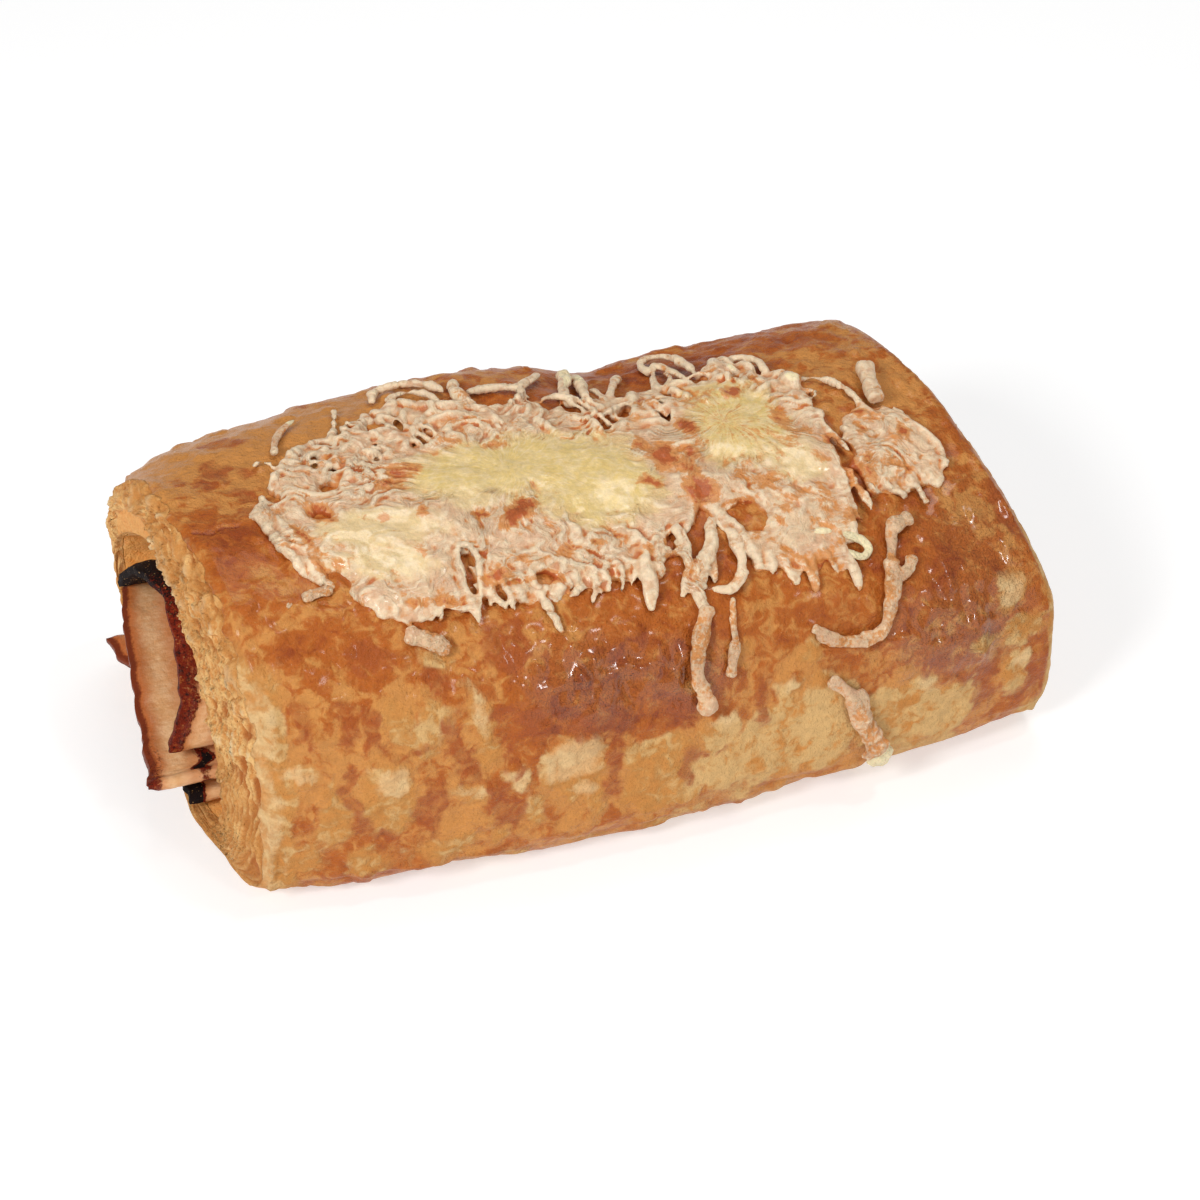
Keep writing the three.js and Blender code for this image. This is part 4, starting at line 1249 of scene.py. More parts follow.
def melt_inside(x, s):
    """How far a place lies within the film of melted cheese, in mm."""
    d = np.minimum(s - profile(FILM_BACK, x), profile(FILM_FRONT, x) - s)
    return np.minimum(d, np.minimum(x - FILM_FROM, FILM_TO - x) * 0.9)


def film_body(inside, xs, ss, thick):
    """A closed film over the grid of places where 'inside' is above zero."""
    gx, gs = np.meshgrid(xs, ss, indexing="ij")
    keep = inside > 0
    cells = keep[:-1, :-1] & keep[1:, :-1] & keep[:-1, 1:] & keep[1:, 1:]
    top = on_crust(gx, gs, np.maximum(thick, 0.3)).reshape(-1, 3)
    base = on_crust(gx, gs, np.full(gx.shape, -SUNK)).reshape(-1, 3)
    n, count = gx.shape[1], gx.size
    faces, edges = [], {}
    for i, j in np.argwhere(cells):
        a, b, c, d = i * n + j, (i + 1) * n + j, (i + 1) * n + j + 1, i * n + j + 1
        faces.append([a, b, c, d])
        faces.append([d + count, c + count, b + count, a + count])
        for e in ((a, b), (b, c), (c, d), (d, a)):
            if (e[1], e[0]) in edges:
                del edges[(e[1], e[0])]
            else:
                edges[e] = True
    faces += [[b, a, a + count, b + count] for a, b in edges]
    points = np.concatenate([top, base])
    used = np.unique(np.concatenate([np.asarray(f) for f in faces]))
    renumber = np.zeros(len(points), int)
    renumber[used] = np.arange(len(used))
    return points[used], [[int(renumber[k]) for k in f] for f in faces]


def melt_film(cell=0.55):
    xs, ss = np.arange(FILM_FROM, FILM_TO + cell, cell), np.arange(-19, 37, cell)
    gx, gs = np.meshgrid(xs, ss, indexing="ij")
    flat = plane(gx, gs)
    inside = melt_inside(gx, gs) + 0.9 * grain(flat, (3.4, 3.4, 1), 101, 2)
    inside = inside + 1.3 * grain(flat, (1.9, 14, 1), 102, 2) * ramp(gs, 14, 24)
    inside = np.minimum(inside, -1.6 * patches(gx, gs, FILM_HOLES, 103, 0.45) - 0.1)
    pool = patches(gx, gs, FILM_POOLS, 121)
    thick = 0.45 + 0.95 * ramp(inside, 0, 2.6) + 0.35 * grain(flat, (7, 6, 1), 105, 2)
    thick = thick + 0.25 * ramp(pool, -1, 3) + 0.22 * grain(flat, (2.6, 2.4, 1), 107, 2) * (
        1 - 0.6 * ramp(pool, -1, 1))
    return film_body(inside, xs, ss, thick)


def rays(x, s):
    """Bearing from the middle of the nearer lobe and reach from it: lines drawn out in baking.

    The second result is how near the place is to where the lobes meet.
    """
    flat = plane(x, s)
    meet = x + 1.5 * grain(flat, (3, 3, 1), 115, 2) - 12.5
    left = 1 - ramp(meet, -0.3, 0.3)
    dx, ds = x - mix(26, -12, left), (s - mix(3, 5, left)) * 1.4
    reach = np.hypot(dx, ds) + 0.01
    size = mix(8, 12, left) * (1 + 0.15 * grain(flat, (9, 9, 1), 113, 1))
    bend = 0.22 * grain(flat, (6, 6, 1), 111, 3, 0.6)
    c, n = dx / reach, ds / reach
    way = np.stack([(c - n * bend) * size, (n + c * bend) * size, 0.13 * reach + 3 * bend], -1)
    return way, bell(meet / 1.6)


# Crowded shreds: how many, from and to X, edge of the film, reach inward, heading or None for
# any, lengths, wiggle, lift, share of the width, bend, and how far past the film they may lie
CROWDED_SHREDS = (
    (34, -52, -28, FILM_BACK, 9, None, (4, 9), 0.26, 1.0, 0.75, 0.12, 1.6),
    (22, -30, 0, FILM_BACK, 8, None, (4, 9), 0.2, 1.0, 0.8, 0.12, 1.6),
    (26, -4, 22, FILM_BACK, 10, 1.5, (4, 9), 0.2, 1.1, 0.8, 0.12, 1.6),
    (26, 20, 41, FILM_BACK, 9, None, (4, 9), 0.22, 1.1, 0.8, 0.12, 1.6),
    (16, -52, -42, FILM_FRONT, -5, 2.0, (7, 12), 0.06, 0.7, 0.9, 0.02, 1.6),
    (40, -40, 8, FILM_FRONT, -8, 1.55, (5, 10), 0.12, 0.75, 0.75, 0.05, 2.8),
    (34, 15, 40, FILM_FRONT, -9, 1.5, (6, 11), 0.1, 0.75, 0.75, 0.05, 2.8))


def melt_shreds(look, rng):
    """Thin shreds half sunk in the film, crowded at its back rim and drawn out at its front."""
    keep = []
    for (count, x0, x1, edge, inward, heading, length, wiggle, lift, size, bend,
         beyond) in CROWDED_SHREDS:
        for _ in range(count):
            x = rng.uniform(x0, x1)
            s = float(profile(edge, x)) + inward * rng.uniform(0.0, 1.0) ** 1.3
            h = rng.uniform(0, 2 * np.pi) if heading is None else rng.normal(heading, 0.4)
            strand = shred(rng, x, s, h, rng.uniform(*length), wiggle,
                           look.shred_width / 2 * size * rng.uniform(0.7, 1.1),
                           lift * rng.uniform(0.5, 1.2), rng.normal(0, bend))
            outside = -melt_inside(strand[0], strand[1])
            if outside.max() < beyond and (outside > 0.4).mean() < 0.4:
                keep.append(strand)
    return keep


# Shreds of the melt that are seen singly: width, lift, then places on the crust
RIM_SHREDS = (
    (1.2, 0.8, (-31.7, -19.4), (-32.4, -17), (-33.4, -14), (-34.4, -11)),
    (0.8, 0.8, (-48.8, -5.4), (-47.2, -6.2), (-46.2, -4.8), (-45.4, -3)),
    (1.7, 0.9, (-27.4, -16.4), (-29.4, -13.4), (-31.5, -10.5), (-33.8, -8.6)),
    (1.7, 0.8, (-34.5, -10), (-38.5, -9.6), (-41.5, -7.6), (-44, -4.8), (-46.4, -2.2)),
    (2.0, 1.0, (-33.5, -9.5), (-34.3, -4), (-36.2, 1), (-39, 5)),
    (1.3, 1.1, (-32.6, -9), (-32.6, -3), (-33.6, 2)), (1.2, 0.9, (-35, -8), (-37, -4.4), (-39, -1)),
    (1.5, 1.1, (-34, -9.6), (-31, -9.4), (-28.5, -8.6), (-26.2, -8.8)),
    (1.1, 0.9, (-31.6, -8), (-29.8, -5.6), (-27, -4.7), (-24.8, -5.6)),
    (1.7, 1.1, (-26, -3.6), (-23.4, -7.4), (-20.8, -11), (-19, -14)),
    (1.2, 1.0, (-26.6, -15.2), (-25.8, -12), (-24.8, -9), (-25.4, -5)),
    (1.9, 1.0, (-26, -15), (-22.6, -17.6), (-19.4, -16.6), (-16, -15), (-12, -13.4), (-8, -12.2)),
    (1.2, 1.0, (-47, 0), (-45, -2), (-43, -1.4), (-42.6, 1), (-44.4, 2.2)),
    (1.1, 0.8, (-42.4, -5.6), (-41.6, -1.6), (-42, 2.4), (-43.4, 5)),
    (1.0, 0.8, (-50.6, 2.6), (-49.8, 5), (-47, 6.2), (-46.6, 2)),
    (2.3, 0.6, (-52.6, 7), (-52, 12), (-51, 17), (-50.2, 21.4)),
    (1.9, 0.7, (-51, 5), (-50, 11), (-48.8, 16)), (1.2, 0.8, (-49.6, 4.4), (-47, 9), (-44.6, 12.6)),
    (2.1, 1.1, (-25.6, -19.6), (-24, -22.8), (-20, -23.6), (-16.4, -22.4), (-13.6, -20.4)),
    (1.3, 0.9, (-23.4, -20), (-20, -20.8), (-16.8, -19.4), (-15.4, -16)),
    (2.6, 1.0, (-11.4, -22.2), (-12.2, -19), (-12, -16), (-10.6, -13.4)),
    (1.9, 0.9, (-10.4, -18.6), (-6, -18.4), (-2, -17.4), (0.4, -19.6), (2.8, -22.4)),
    (1.6, 1.0, (-2.4, -13.6), (-1.4, -17), (1.2, -20), (3.8, -23.6)),
    (2.3, 1.3, (3.6, -11.6), (5, -16), (6.6, -20.4), (8, -24.4)),
    (2.0, 1.2, (7, -8), (8, -14), (8.8, -19), (9.2, -23.4)),
    (1.2, 1.2, (9.8, -6), (10.3, -12), (10.1, -16.6)),
    (1.9, 1.2, (10.8, -10), (13.4, -14.6), (15.8, -18.6), (17.2, -22.4)),
    (1.7, 1.2, (13, -3), (14.6, -8), (15.8, -12.8)), (1.3, 1.1, (16.6, -9), (16.2, -4), (16.6, 0)),
    (1.3, 1.1, (19.4, -9), (19.8, -4), (18.4, 0.4)),
    (1.5, 1.1, (20, -9.6), (21.4, -15.4), (24, -21), (25.2, -17.6), (26.8, -12.6)),
    (1.5, 1.3, (22, -19.4), (22.2, -23.4), (24.4, -25.2), (27, -23), (28.6, -18.4), (28.6, -12.6)),
    (1.0, 1.6, (24.2, -17.2), (23.6, -13.4), (22.6, -9)),
    (3.0, 1.0, (33.4, -17.8), (32.4, -14), (31.4, -9.6)),
    (1.5, 1.0, (35.6, -17.4), (38.6, -15.4), (39.9, -12.4), (39.6, -8.6)),
    (1.3, 0.9, (37.6, -14.4), (36.6, -11), (37.4, -7)),
    (2.7, 1.0, (40.6, -8.6), (42, -5), (41.6, -1.6)),
    (0.9, 1.0, (40, -0.2), (41.4, 1.3), (43.4, 1.1), (44.3, -0.4), (43.2, -2.4)),
    (1.3, 0.9, (43, -4.8), (46.4, -4.2), (48.6, -1.6), (49.8, 2), (50.4, 6.4)),
    (2.7, 0.8, (2.8, 25), (1.8, 29), (1.0, 33), (0.3, 36.4)),
    (1.5, 0.7, (-16.8, 24), (-16.2, 30), (-15.4, 34.2), (-14.3, 37.4)),
    (1.6, 0.8, (-27.4, 21), (-27.2, 28), (-26.6, 33.8)),
    (1.1, 1.5, (-26.6, 27), (-26.5, 22.8), (-25.2, 20.6), (-23.7, 22.6), (-24.4, 27),
     (-26, 32)),
    (1.4, 0.9, (25.2, 31), (26.6, 35.6), (26.8, 38.6)),
    (1.9, 0.9, (33, 30), (33.6, 35), (33.7, 39.4)),
    (2.7, 0.9, (8.6, 38.6), (8, 35.4), (9.4, 32.2), (12.6, 28.4), (15, 23)),
    (1.8, 0.9, (5.6, 35.4), (7.6, 31.6), (9, 27.4), (8.6, 22)),
    (2.1, 0.9, (16.2, 24), (16.9, 29), (16, 33.2), (13.6, 35.4), (10.6, 35)),
    (1.5, 0.8, (14, 24), (12.4, 29), (11.4, 34)), (1.6, 0.8, (21.6, 28), (21, 34.4)),
    (1.4, 0.9, (18, 25), (18.6, 29), (19.6, 33)), (1.3, 1.0, (-6, 24), (-7, 29), (-6.6, 32.6)),
    (1.4, 0.9, (-20.6, 24), (-19.6, 29), (-18.6, 31.8)),
    (1.6, 0.8, (-34, 26), (-33, 30), (-34, 32.6)),
    (1.5, 0.8, (40.4, 18), (40.6, 23), (41, 27)), (1.1, 1.0, (42.6, 4), (41.6, 9), (42.8, 15)))


def cheese_fields(x, s, h):
    """Where the melt is yellow and smooth, toasted or raw; crust places and height in mm."""
    flat = plane(x, s)
    yellow = ramp(patches(x, s, FILM_POOLS, 121), -2.9, 4)
    pale = ramp(patches(x, s, PALE_POOLS, 123), -2.8, 2.5)
    toast = (0.38 * grain(flat, (3.4, 3, 1), 125, 3) + 0.14 * ramp(x, 10, 20)) * (
        1 - 0.8 * yellow)
    u = x + 0.6 * grain(flat, (1.6, 1.6, 1), 126, 2)
    v = s + 0.6 * grain(flat, (1.6, 1.6, 1), 127, 2)
    for *spot, amount in TOASTED:
        a, b = turned(u, v, spot)
        toast = np.maximum(toast, amount * np.exp(-(a * a + b * b) * 0.6))
    raw = 0.6 * ramp(grain(flat, (3.5, 3.5, 1), 129, 1), 0.85, 1.1) * ramp(h, 1.2, 2.2)
    return yellow, pale, toast, raw


def dress_cheese(mesh, raw=None, calm=0.0):
    """Fine relief, baking, and painted shade and highlight of a fused cheese mesh; calm ones are
    single strands.
    """
    p, n = vertex_fields(mesh)
    x, s, h = place_on_crust(p)
    yellow, pale, toast, own_raw = cheese_fields(x, s, h)
    flat = np.clip(yellow + 0.7 * pale, 0, 1) * (1 - calm)
    way, seam = rays(x, s)
    drawn = grain(way, (0.85, 0.85, 0.85), 131, 2, 0.55) * (1 - seam)
    crease = grain(p, (0.9, 0.9, 0.9), 135, 2, 0.6)
    lumps = grain(p, (1.8, 1.7, 1.8), 133, 2)
    rugged = (0.35 + 0.65 * ramp(grain(p, (6, 6, 6), 141, 2), -0.5, 0.3)) * (1 - 0.93 * flat)
    shove = (0.34 * drawn * (1 - 0.7 * calm) + 0.08 * crease + 0.16 * lumps * (
        1 - 0.6 * calm)) * rugged
    shove = shove * ramp(h, -0.1, 0.5)
    q = (p + n * shove[:, None] + origin()) * MM
    mesh.vertices.foreach_set("co", q.ravel())
    mesh.update()
    fine, broad = hollows(mesh, 3), hollows(mesh, 10)
    low = 1 - ramp(h, 0.15, 0.9)
    baked = 0.38 + 0.30 * grain(p, (2.2, 2.2, 2.2), 139, 2)
    give_fields(mesh, {
        "melt": yellow * (1 - calm), "pale": pale * (1 - calm),
        "toast": mix(toast, baked, calm) + 0.5 * low * (1 - flat),
        # painted shade in the hollows and painted highlight on the ridges
        "cavity": (np.maximum(fine, 0) + 0.5 * np.maximum(broad, 0)) * (1 - 0.7 * flat),
        "ridge": np.maximum(-fine, 0) * (1 - 0.7 * flat) - 0.06 * calm,
        "way": way if calm < 0.5 else p, "seam": seam * (calm < 0.5),
        "raw": own_raw * (1 - calm) if raw is None else raw(x, s),
    })


def build_melt(look):
    rng = np.random.default_rng(7)
    bodies = [melt_film()]
    bodies += [lay(strand) for strand in melt_shreds(look, rng)]
    for width, lift, *places in RIM_SHREDS:
        line = spline(places, 5 * len(places))
        t = np.linspace(0, 1, len(line))
        radii = width / 2 * (0.9 + 0.15 * np.sin(9 * t + width)) * np.minimum(
            1, 0.6 + 3 * np.minimum(t, 1 - t))
        high = lift * (0.55 + 0.45 * np.sin(np.pi * t))
        bodies.append(lay((line[:, 0], line[:, 1], high, radii), 0.7))
    mesh = fuse("melt", bodies, look.melt_grid, 1)
    dress_cheese(mesh)
    return finish_piece("melted_cheese", mesh, cheese_finish(look), ("cheese_melt",))


PATCH_FILM = ((50.6, 15.2, 7.4, 9.4, -8), (45.6, 19.6, 3.8, 4.8, 0), (48.4, 8.6, 3.4, 3, 20),
              (54.6, 19, 3.4, 4, 0), (44.6, 13, 2, 3.4, 0))
PATCH_SHREDS = (
    (2.9, 0.9, (56, -3.6), (54.8, -1), (53.6, 2.4), (52.8, 5.6)),
    (1.2, 0.9, (52.6, 7.4), (55, 10.6), (57, 14.6), (57.6, 18.4), (56.4, 22)),
    (1.3, 0.9, (49.6, 4.6), (50.6, 8), (51.4, 12)), (1.0, 0.8, (54.6, 8), (55.6, 9.6)),
    (1.2, 0.6, (46.4, 24.6), (47.2, 26)), (1.1, 0.6, (50, 23), (50.2, 27.6)),
    (1.2, 0.8, (44.4, 10), (45, 14), (44.6, 18)), (1.3, 0.8, (43.6, 17), (43.8, 21), (45.6, 24)))


def build_right_patch(look):
    """Wrinkled patch at the right end, with a finger of cheese behind it."""
    rng = np.random.default_rng(11)
    r = look.shred_width / 2
    xs, ss = np.arange(40, 60, 0.5), np.arange(0, 28, 0.5)
    gx, gs = np.meshgrid(xs, ss, indexing="ij")
    flat = plane(gx, gs)
    inside = patches(gx, gs, PATCH_FILM, 141)
    thick = 0.5 + 0.9 * ramp(inside, 0, 2.4) + 0.25 * grain(flat, (3, 3, 1), 143, 2)
    bodies = [film_body(inside, xs, ss, thick)]
    for _ in range(30):
        a, d = rng.uniform(0, 2 * np.pi), math.sqrt(rng.uniform(0, 1))
        x, s = 50.2 + 5.6 * d * math.cos(a), 15 + 7 * d * math.sin(a)
        heading = rng.choice([0.9, 1.7]) + rng.normal(0, 0.3)
        strand = shred(rng, x - 2.2 * math.cos(heading), s - 2.2 * math.sin(heading), heading,
                       rng.uniform(3, 6), 0.1, r * rng.uniform(0.55, 0.85),
                       rng.uniform(0.5, 1.0))
        if patches(strand[0], strand[1], PATCH_FILM, 141).min() > -0.3:
            bodies.append(lay(strand))
    for width, lift, *places in PATCH_SHREDS:
        line = spline(places, 4 * len(places))
        bodies.append(lay((line[:, 0], line[:, 1], np.full(len(line), lift),
                           np.full(len(line), width / 2))))
    mesh = fuse("patch", bodies, PATCH_GRID, 1)
    dress_cheese(mesh)
    return finish_piece("cheese_patch", mesh, bpy.data.materials["melted cheese"],
                        ("cheese_patch_right",))


# Strands on their own: node replaced, then lines of width, lift and places on the crust,
# and where the strand has stayed raw
LONE_STRANDS = {
    "strand_bent": ("cheese_strand_bent", (
        (2.4, 0.7, (46, 29.6), (44.4, 30), (42, 30.6)), (1.7, 0.7, (42.3, 30.4), (41.2, 33.4),
                                                        (40, 36)),
        (2.7, 0.9, (40, 35.6), (39.2, 38.6), (38, 42)), (1.9, 0.9, (40, 38.8), (42.3, 37.6),
                                                          (43.6, 35.8)),
        (2.2, 0.8, (38.2, 41), (36.4, 45), (34, 47)), (2.3, 0.7, (34.8, 46.8), (29.5, 46.6),
                                                      (25, 44.6)),
        (1.6, 0.6, (27, 45.4), (24.6, 43.4))), None),
    "strand_pointed": ("cheese_strand_pointed", (
        (2.2, 0.8, (26, 52.2), (28.4, 54.6), (30.4, 57)), (3.2, 0.9, (29.4, 56), (31, 60.5),
                                                          (32.6, 65)),
        (1.8, 1.1, (30.8, 55), (32, 60), (33.4, 64)), (3.6, 1.2, (32.2, 63), (33.4, 66.4)),
        (4.2, 1.3, (33, 66.4), (34.4, 69)), (2.8, 1.3, (34.2, 68.6), (35.2, 71)),
        (1.4, 1.2, (35, 70.4), (36, 73))), (35, 70.4, 4)),
    "drip_long": ("cheese_drip_long", (
        (2.6, 0.8, (9, 37.4), (7.4, 40), (5.6, 43.6)), (2.3, 0.8, (5.8, 43), (5, 47),
                                                        (5.6, 50)),
        (3.0, 0.9, (5.4, 49.4), (6.2, 53.4))), None),
    "drip_thin": ("cheese_drip_thin", (
        (1.2, 0.6, (13.4, 36.6), (12.4, 40), (12, 43.6)), (1.8, 0.7, (12, 43), (11, 45.6),
                                                         (10.2, 48.4))), None),
    "strand_upper_left": ("cheese_strand_upper_left", (
        (1.3, 0.9, (-38.5, -17.8), (-41.4, -14.6), (-43.4, -11.4), (-44.6, -8)),),
        (-38.8, -17.4, 2.2)),
    "crumb_oval": ("cheese_crumb_oval", (
        (2.7, 0.6, (-38.6, 33.8), (-35.6, 35.2), (-32.4, 37.2)),
        (1.6, 0.7, (-37.6, 34.6), (-34, 35.6))), None),
    "crumb_left": (None, ((1.9, 0.5, (-52.2, 25.9), (-50, 25.4), (-47.4, 25.2)),), None),
    "crumb_dot": (None, ((1.5, 0.4, (-54.8, 26.2), (-54.2, 26.7)),), None),
    "curl": (None, ((1.4, 1.1, (29, 28.6), (33, 29.6), (36.4, 31.6), (37.2, 33.4),
                     (35.6, 34.4), (33.4, 33)),), (34.5, 31.5, 6)),
}


def build_strands():
    made = []
    for name, (node, lines, raw) in LONE_STRANDS.items():
        bodies = []
        for width, lift, *places in lines:
            line = spline(places, 5 * len(places))
            t = np.linspace(0, 1, len(line))
            radii = width / 2 * (1.05 + 0.12 * np.sin(9 * t + 3 * width))
            radii = radii * np.minimum(1, 0.6 + 5 * np.minimum(t, 1 - t))
            bodies.append(lay((line[:, 0], line[:, 1], 0.8 * lift * np.ones(len(line)), radii),
                              0.6))
        mesh = fuse(name, bodies, STRAND_GRID, 2)
        pale = None
        if raw:
            def pale(x, s, spot=raw):
                return 1.0 - ramp(np.hypot(x - spot[0], s - spot[1]), spot[2] * 0.75,
                                  spot[2] * 1.1)
        dress_cheese(mesh, pale, calm=0.7)
        made.append(finish_piece("cheese_" + name, mesh, bpy.data.materials["melted cheese"],
                                 (node,) if node else ()))
    return made


# ------------------------------------------------------------------ flakes
LEAF_LONG, LEAF_WIDE, LEAF_SEED = 2.2, 0.9, 3
LEAVES_PER_M2 = 120000.0


def leaf_mesh(name, long, wide, seed):
    """One thin curled leaf of dough, closed, in mm about its own middle."""
    rng = np.random.default_rng(seed)
    n, m = 5, 3
    top, base = [], []
    for i in range(n):
        t = i / (n - 1) - 0.5
        half = wide / 2 * (1 - (2 * t) ** 2 * 0.6) * rng.uniform(0.8, 1.1)
        for j in range(m):
            u = j / (m - 1) * 2 - 1
            z = 0.25 * long * t * t + rng.normal(0, 0.03)
            top.append((t * long, u * half, z + 0.06))
            base.append((t * long, u * half * 0.9, z - 0.06))
    faces = [[i * m + j, (i + 1) * m + j, (i + 1) * m + j + 1, i * m + j + 1]
             for i in range(n - 1) for j in range(m - 1)]
    k = n * m
    faces += [[d + k, c + k, b + k, a + k] for a, b, c, d in list(faces)]
    rim = ([(i, i + 1) for i in range(m - 1)] + [(i * m + m - 1, (i + 1) * m + m - 1)
           for i in range(n - 1)] + [(k - 1 - i, k - 2 - i) for i in range(m - 1)]
           + [((i + 1) * m, i * m) for i in reversed(range(n - 1))])
    faces += [[a, b, b + k, a + k] for a, b in rim]
    points = np.array(top + base)
    mesh = bpy.data.meshes.new(name)
    mesh.from_pydata((points * MM).tolist(), [], outward(points, faces).tolist())
    mesh.update()
    return mesh


def scatter_tree(name, leaf, material):
    """Geometry nodes: leaves scattered over a surface where its field 'flaky' allows."""
    tree, enter = add_group(name, "GeometryNodeTree", (
        ("Geometry", "Geometry", None), ("Density", "Float", 20000.0),
        ("Smallest", "Float", 0.5), ("Largest", "Float", 1.2), ("Tilt", "Float", 0.5),
        ("Seed", "Int", 1)), (("Geometry", "Geometry"),))
    put = functools.partial(add_node, tree)
    flaky = put("GeometryNodeInputNamedAttribute", {"Name": "flaky"}, data_type="FLOAT")
    amount = put("ShaderNodeMath", {0: flaky.outputs["Attribute"], 1: enter["Density"]},
                 operation="MULTIPLY")
    points = put("GeometryNodeDistributePointsOnFaces", {
        "Mesh": enter["Geometry"], "Density": amount.outputs[0], "Seed": enter["Seed"]}).outputs
    shape = put("GeometryNodeObjectInfo", {"Object": leaf})
    size = put("FunctionNodeRandomValue", {
        2: enter["Smallest"], 3: enter["Largest"], "Seed": enter["Seed"]}, data_type="FLOAT")
    down = put("ShaderNodeMath", {0: enter["Tilt"], 1: -1}, operation="MULTIPLY").outputs[0]
    low = put("ShaderNodeCombineXYZ", {"X": down, "Y": down})
    high = put("ShaderNodeCombineXYZ", {
        "X": enter["Tilt"], "Y": enter["Tilt"], "Z": 2 * math.pi})
    turn = put("FunctionNodeRandomValue", {
        0: low.outputs[0], 1: high.outputs[0], "Seed": enter["Seed"]}, data_type="FLOAT_VECTOR")
    rotate = put("FunctionNodeRotateRotation", {0: points["Rotation"], 1: turn.outputs[0]},
                 rotation_space="LOCAL")
    place = put("GeometryNodeInstanceOnPoints", {
        "Points": points["Points"], "Instance": shape.outputs["Geometry"],
        "Rotation": rotate.outputs[0], "Scale": size.outputs[1]})
    real = put("GeometryNodeRealizeInstances", {0: place.outputs[0]})
    dress = put("GeometryNodeSetMaterial", {"Geometry": real.outputs[0], "Material": material})
    put("NodeGroupOutput", {0: dress.outputs[0]})
    return tree


def scatter(name, base, leaf_mesh_, material, slot, **inputs):
    """Scatters a leaf over a base object with geometry nodes and keeps the result as a mesh."""
    leaf = bpy.data.objects.new(name + "_leaf", leaf_mesh_)
    tree = scatter_tree(name + " scatter", leaf, material)
    nodes = base.modifiers.new("scatter", "NODES")
    nodes.node_group = tree
    names = {item.name: item.identifier for item in tree.interface.items_tree
             if item.in_out == "INPUT"}
    for key, value in inputs.items():
        nodes[names[key]] = value
    graph = bpy.context.evaluated_depsgraph_get()
    mesh = bpy.data.meshes.new_from_object(base.evaluated_get(graph))
    base.modifiers.remove(nodes)
    bpy.data.objects.remove(leaf)
    if not len(mesh.polygons):
        raise RuntimeError(f"{name}: nothing was scattered")
    return finish_piece(name, mesh, material)


def build_flakes(look):
    """Loose leaves on the torn faces."""
    crust = bpy.data.objects["pastry_crust"]
    mesh = crust.data
    p, _ = vertex_fields(mesh)
    face = np.zeros(len(mesh.vertices))
    mesh.attributes["face"].data.foreach_get("value", face)
    flaky = face * ramp(grain(p, (5, 3, 3), 151, 2), -0.2, 0.6) * ramp(p[:, 2], 2.5, 5)
    flaky = flaky * (0.35 + 0.65 * ramp(p[:, 2], 22, 36)) * np.where(p[:, 0] > 0, 0.1, 1.0)
    if "flaky" not in mesh.attributes:
        mesh.attributes.new("flaky", "FLOAT", "POINT")
    mesh.attributes["flaky"].data.foreach_set("value", flaky.astype(np.float32))
    material = flake_finish(look)
    leaf = leaf_mesh("leaf", LEAF_LONG, LEAF_WIDE, LEAF_SEED)
    return scatter("dough_flakes", crust, leaf, material, "crust", Density=LEAVES_PER_M2,
                   Smallest=0.2, Largest=0.55, Tilt=0.3, Seed=4)


# ------------------------------------------------------------------ stage
FLOOR_HALF = 3.0        # m
LAMP_AIM = (0, 0, 0.02)
# Soft lamps: name, place in m, which power of the look, size in m
LAMPS = (("softbox_left", (-0.58, -0.40, 0.55), "key", 0.22),
         ("softbox_above", (0.15, 0.25, 0.8), "top", 0.36),
         ("small_lamp_above", (0.22, -0.12, 0.8), "glint", 0.07),
         ("small_lamp_front", (0.25, -0.6, 0.6), "glint", 0.07),
         ("softbox_front", (0.35, -0.8, 0.35), "fill", 0.6))
FRAME_WIDTH = 36        # mm, of the camera


def build_stage(look):
    floor = bpy.data.meshes.new("floor")
    w = FLOOR_HALF
    floor.from_pydata([(-w, -w, 0), (w, -w, 0), (w, w, 0), (-w, w, 0)], [], [(0, 1, 2, 3)])
    floor.materials.append(floor_finish(look))
    ground = bpy.data.objects.new("studio_floor", floor)
    bpy.context.scene.collection.objects.link(ground)

    scene = bpy.context.scene
    world = bpy.data.worlds.new("soft studio")
    world.use_nodes = True
    sky = world.node_tree.nodes["Background"]
    sky.inputs["Color"].default_value = (1, 0.995, 0.985, 1)
    sky.inputs["Strength"].default_value = look.sky
    scene.world = world

    for name, place, power, size in LAMPS:
        lamp = bpy.data.lights.new(name, "AREA")
        lamp.energy, lamp.size = getattr(look, power), size
        box = bpy.data.objects.new(name, lamp)
        scene.collection.objects.link(box)
        box.location = place
        box.rotation_mode = "QUATERNION"
        box.rotation_quaternion = Vector(np.array(LAMP_AIM) - place).to_track_quat("-Z", "Y")

    a, e = math.radians(VIEW_TURN), math.radians(VIEW_HEIGHT)
    back = Vector((math.sin(a) * math.cos(e), -math.cos(a) * math.cos(e), math.sin(e)))
    target = Vector((np.array(VIEW_TARGET) + origin()) * MM)
    lens = bpy.data.cameras.new("camera")
    lens.lens, lens.sensor_width, lens.sensor_height = VIEW_LENS, FRAME_WIDTH, FRAME_WIDTH
    lens.clip_start, lens.clip_end = 0.01, 20
    camera = bpy.data.objects.new("camera", lens)
    scene.collection.objects.link(camera)
    camera.location = target + back * VIEW_FAR * MM
    camera.rotation_mode = "QUATERNION"
    camera.rotation_quaternion = (-back).to_track_quat("-Z", "Y")
    scene.camera = camera
    scene.view_settings.view_transform = "Standard"


# ------------------------------------------------------------------ add-on
def colour(name, value, words):
    return bpy.props.FloatVectorProperty(name=name, description=words, subtype="COLOR", size=3,
                                         min=0, max=1, default=value)


def light(name, value, words, unit="NONE"):
    return bpy.props.FloatProperty(name=name, description=words, default=value, min=0, unit=unit)


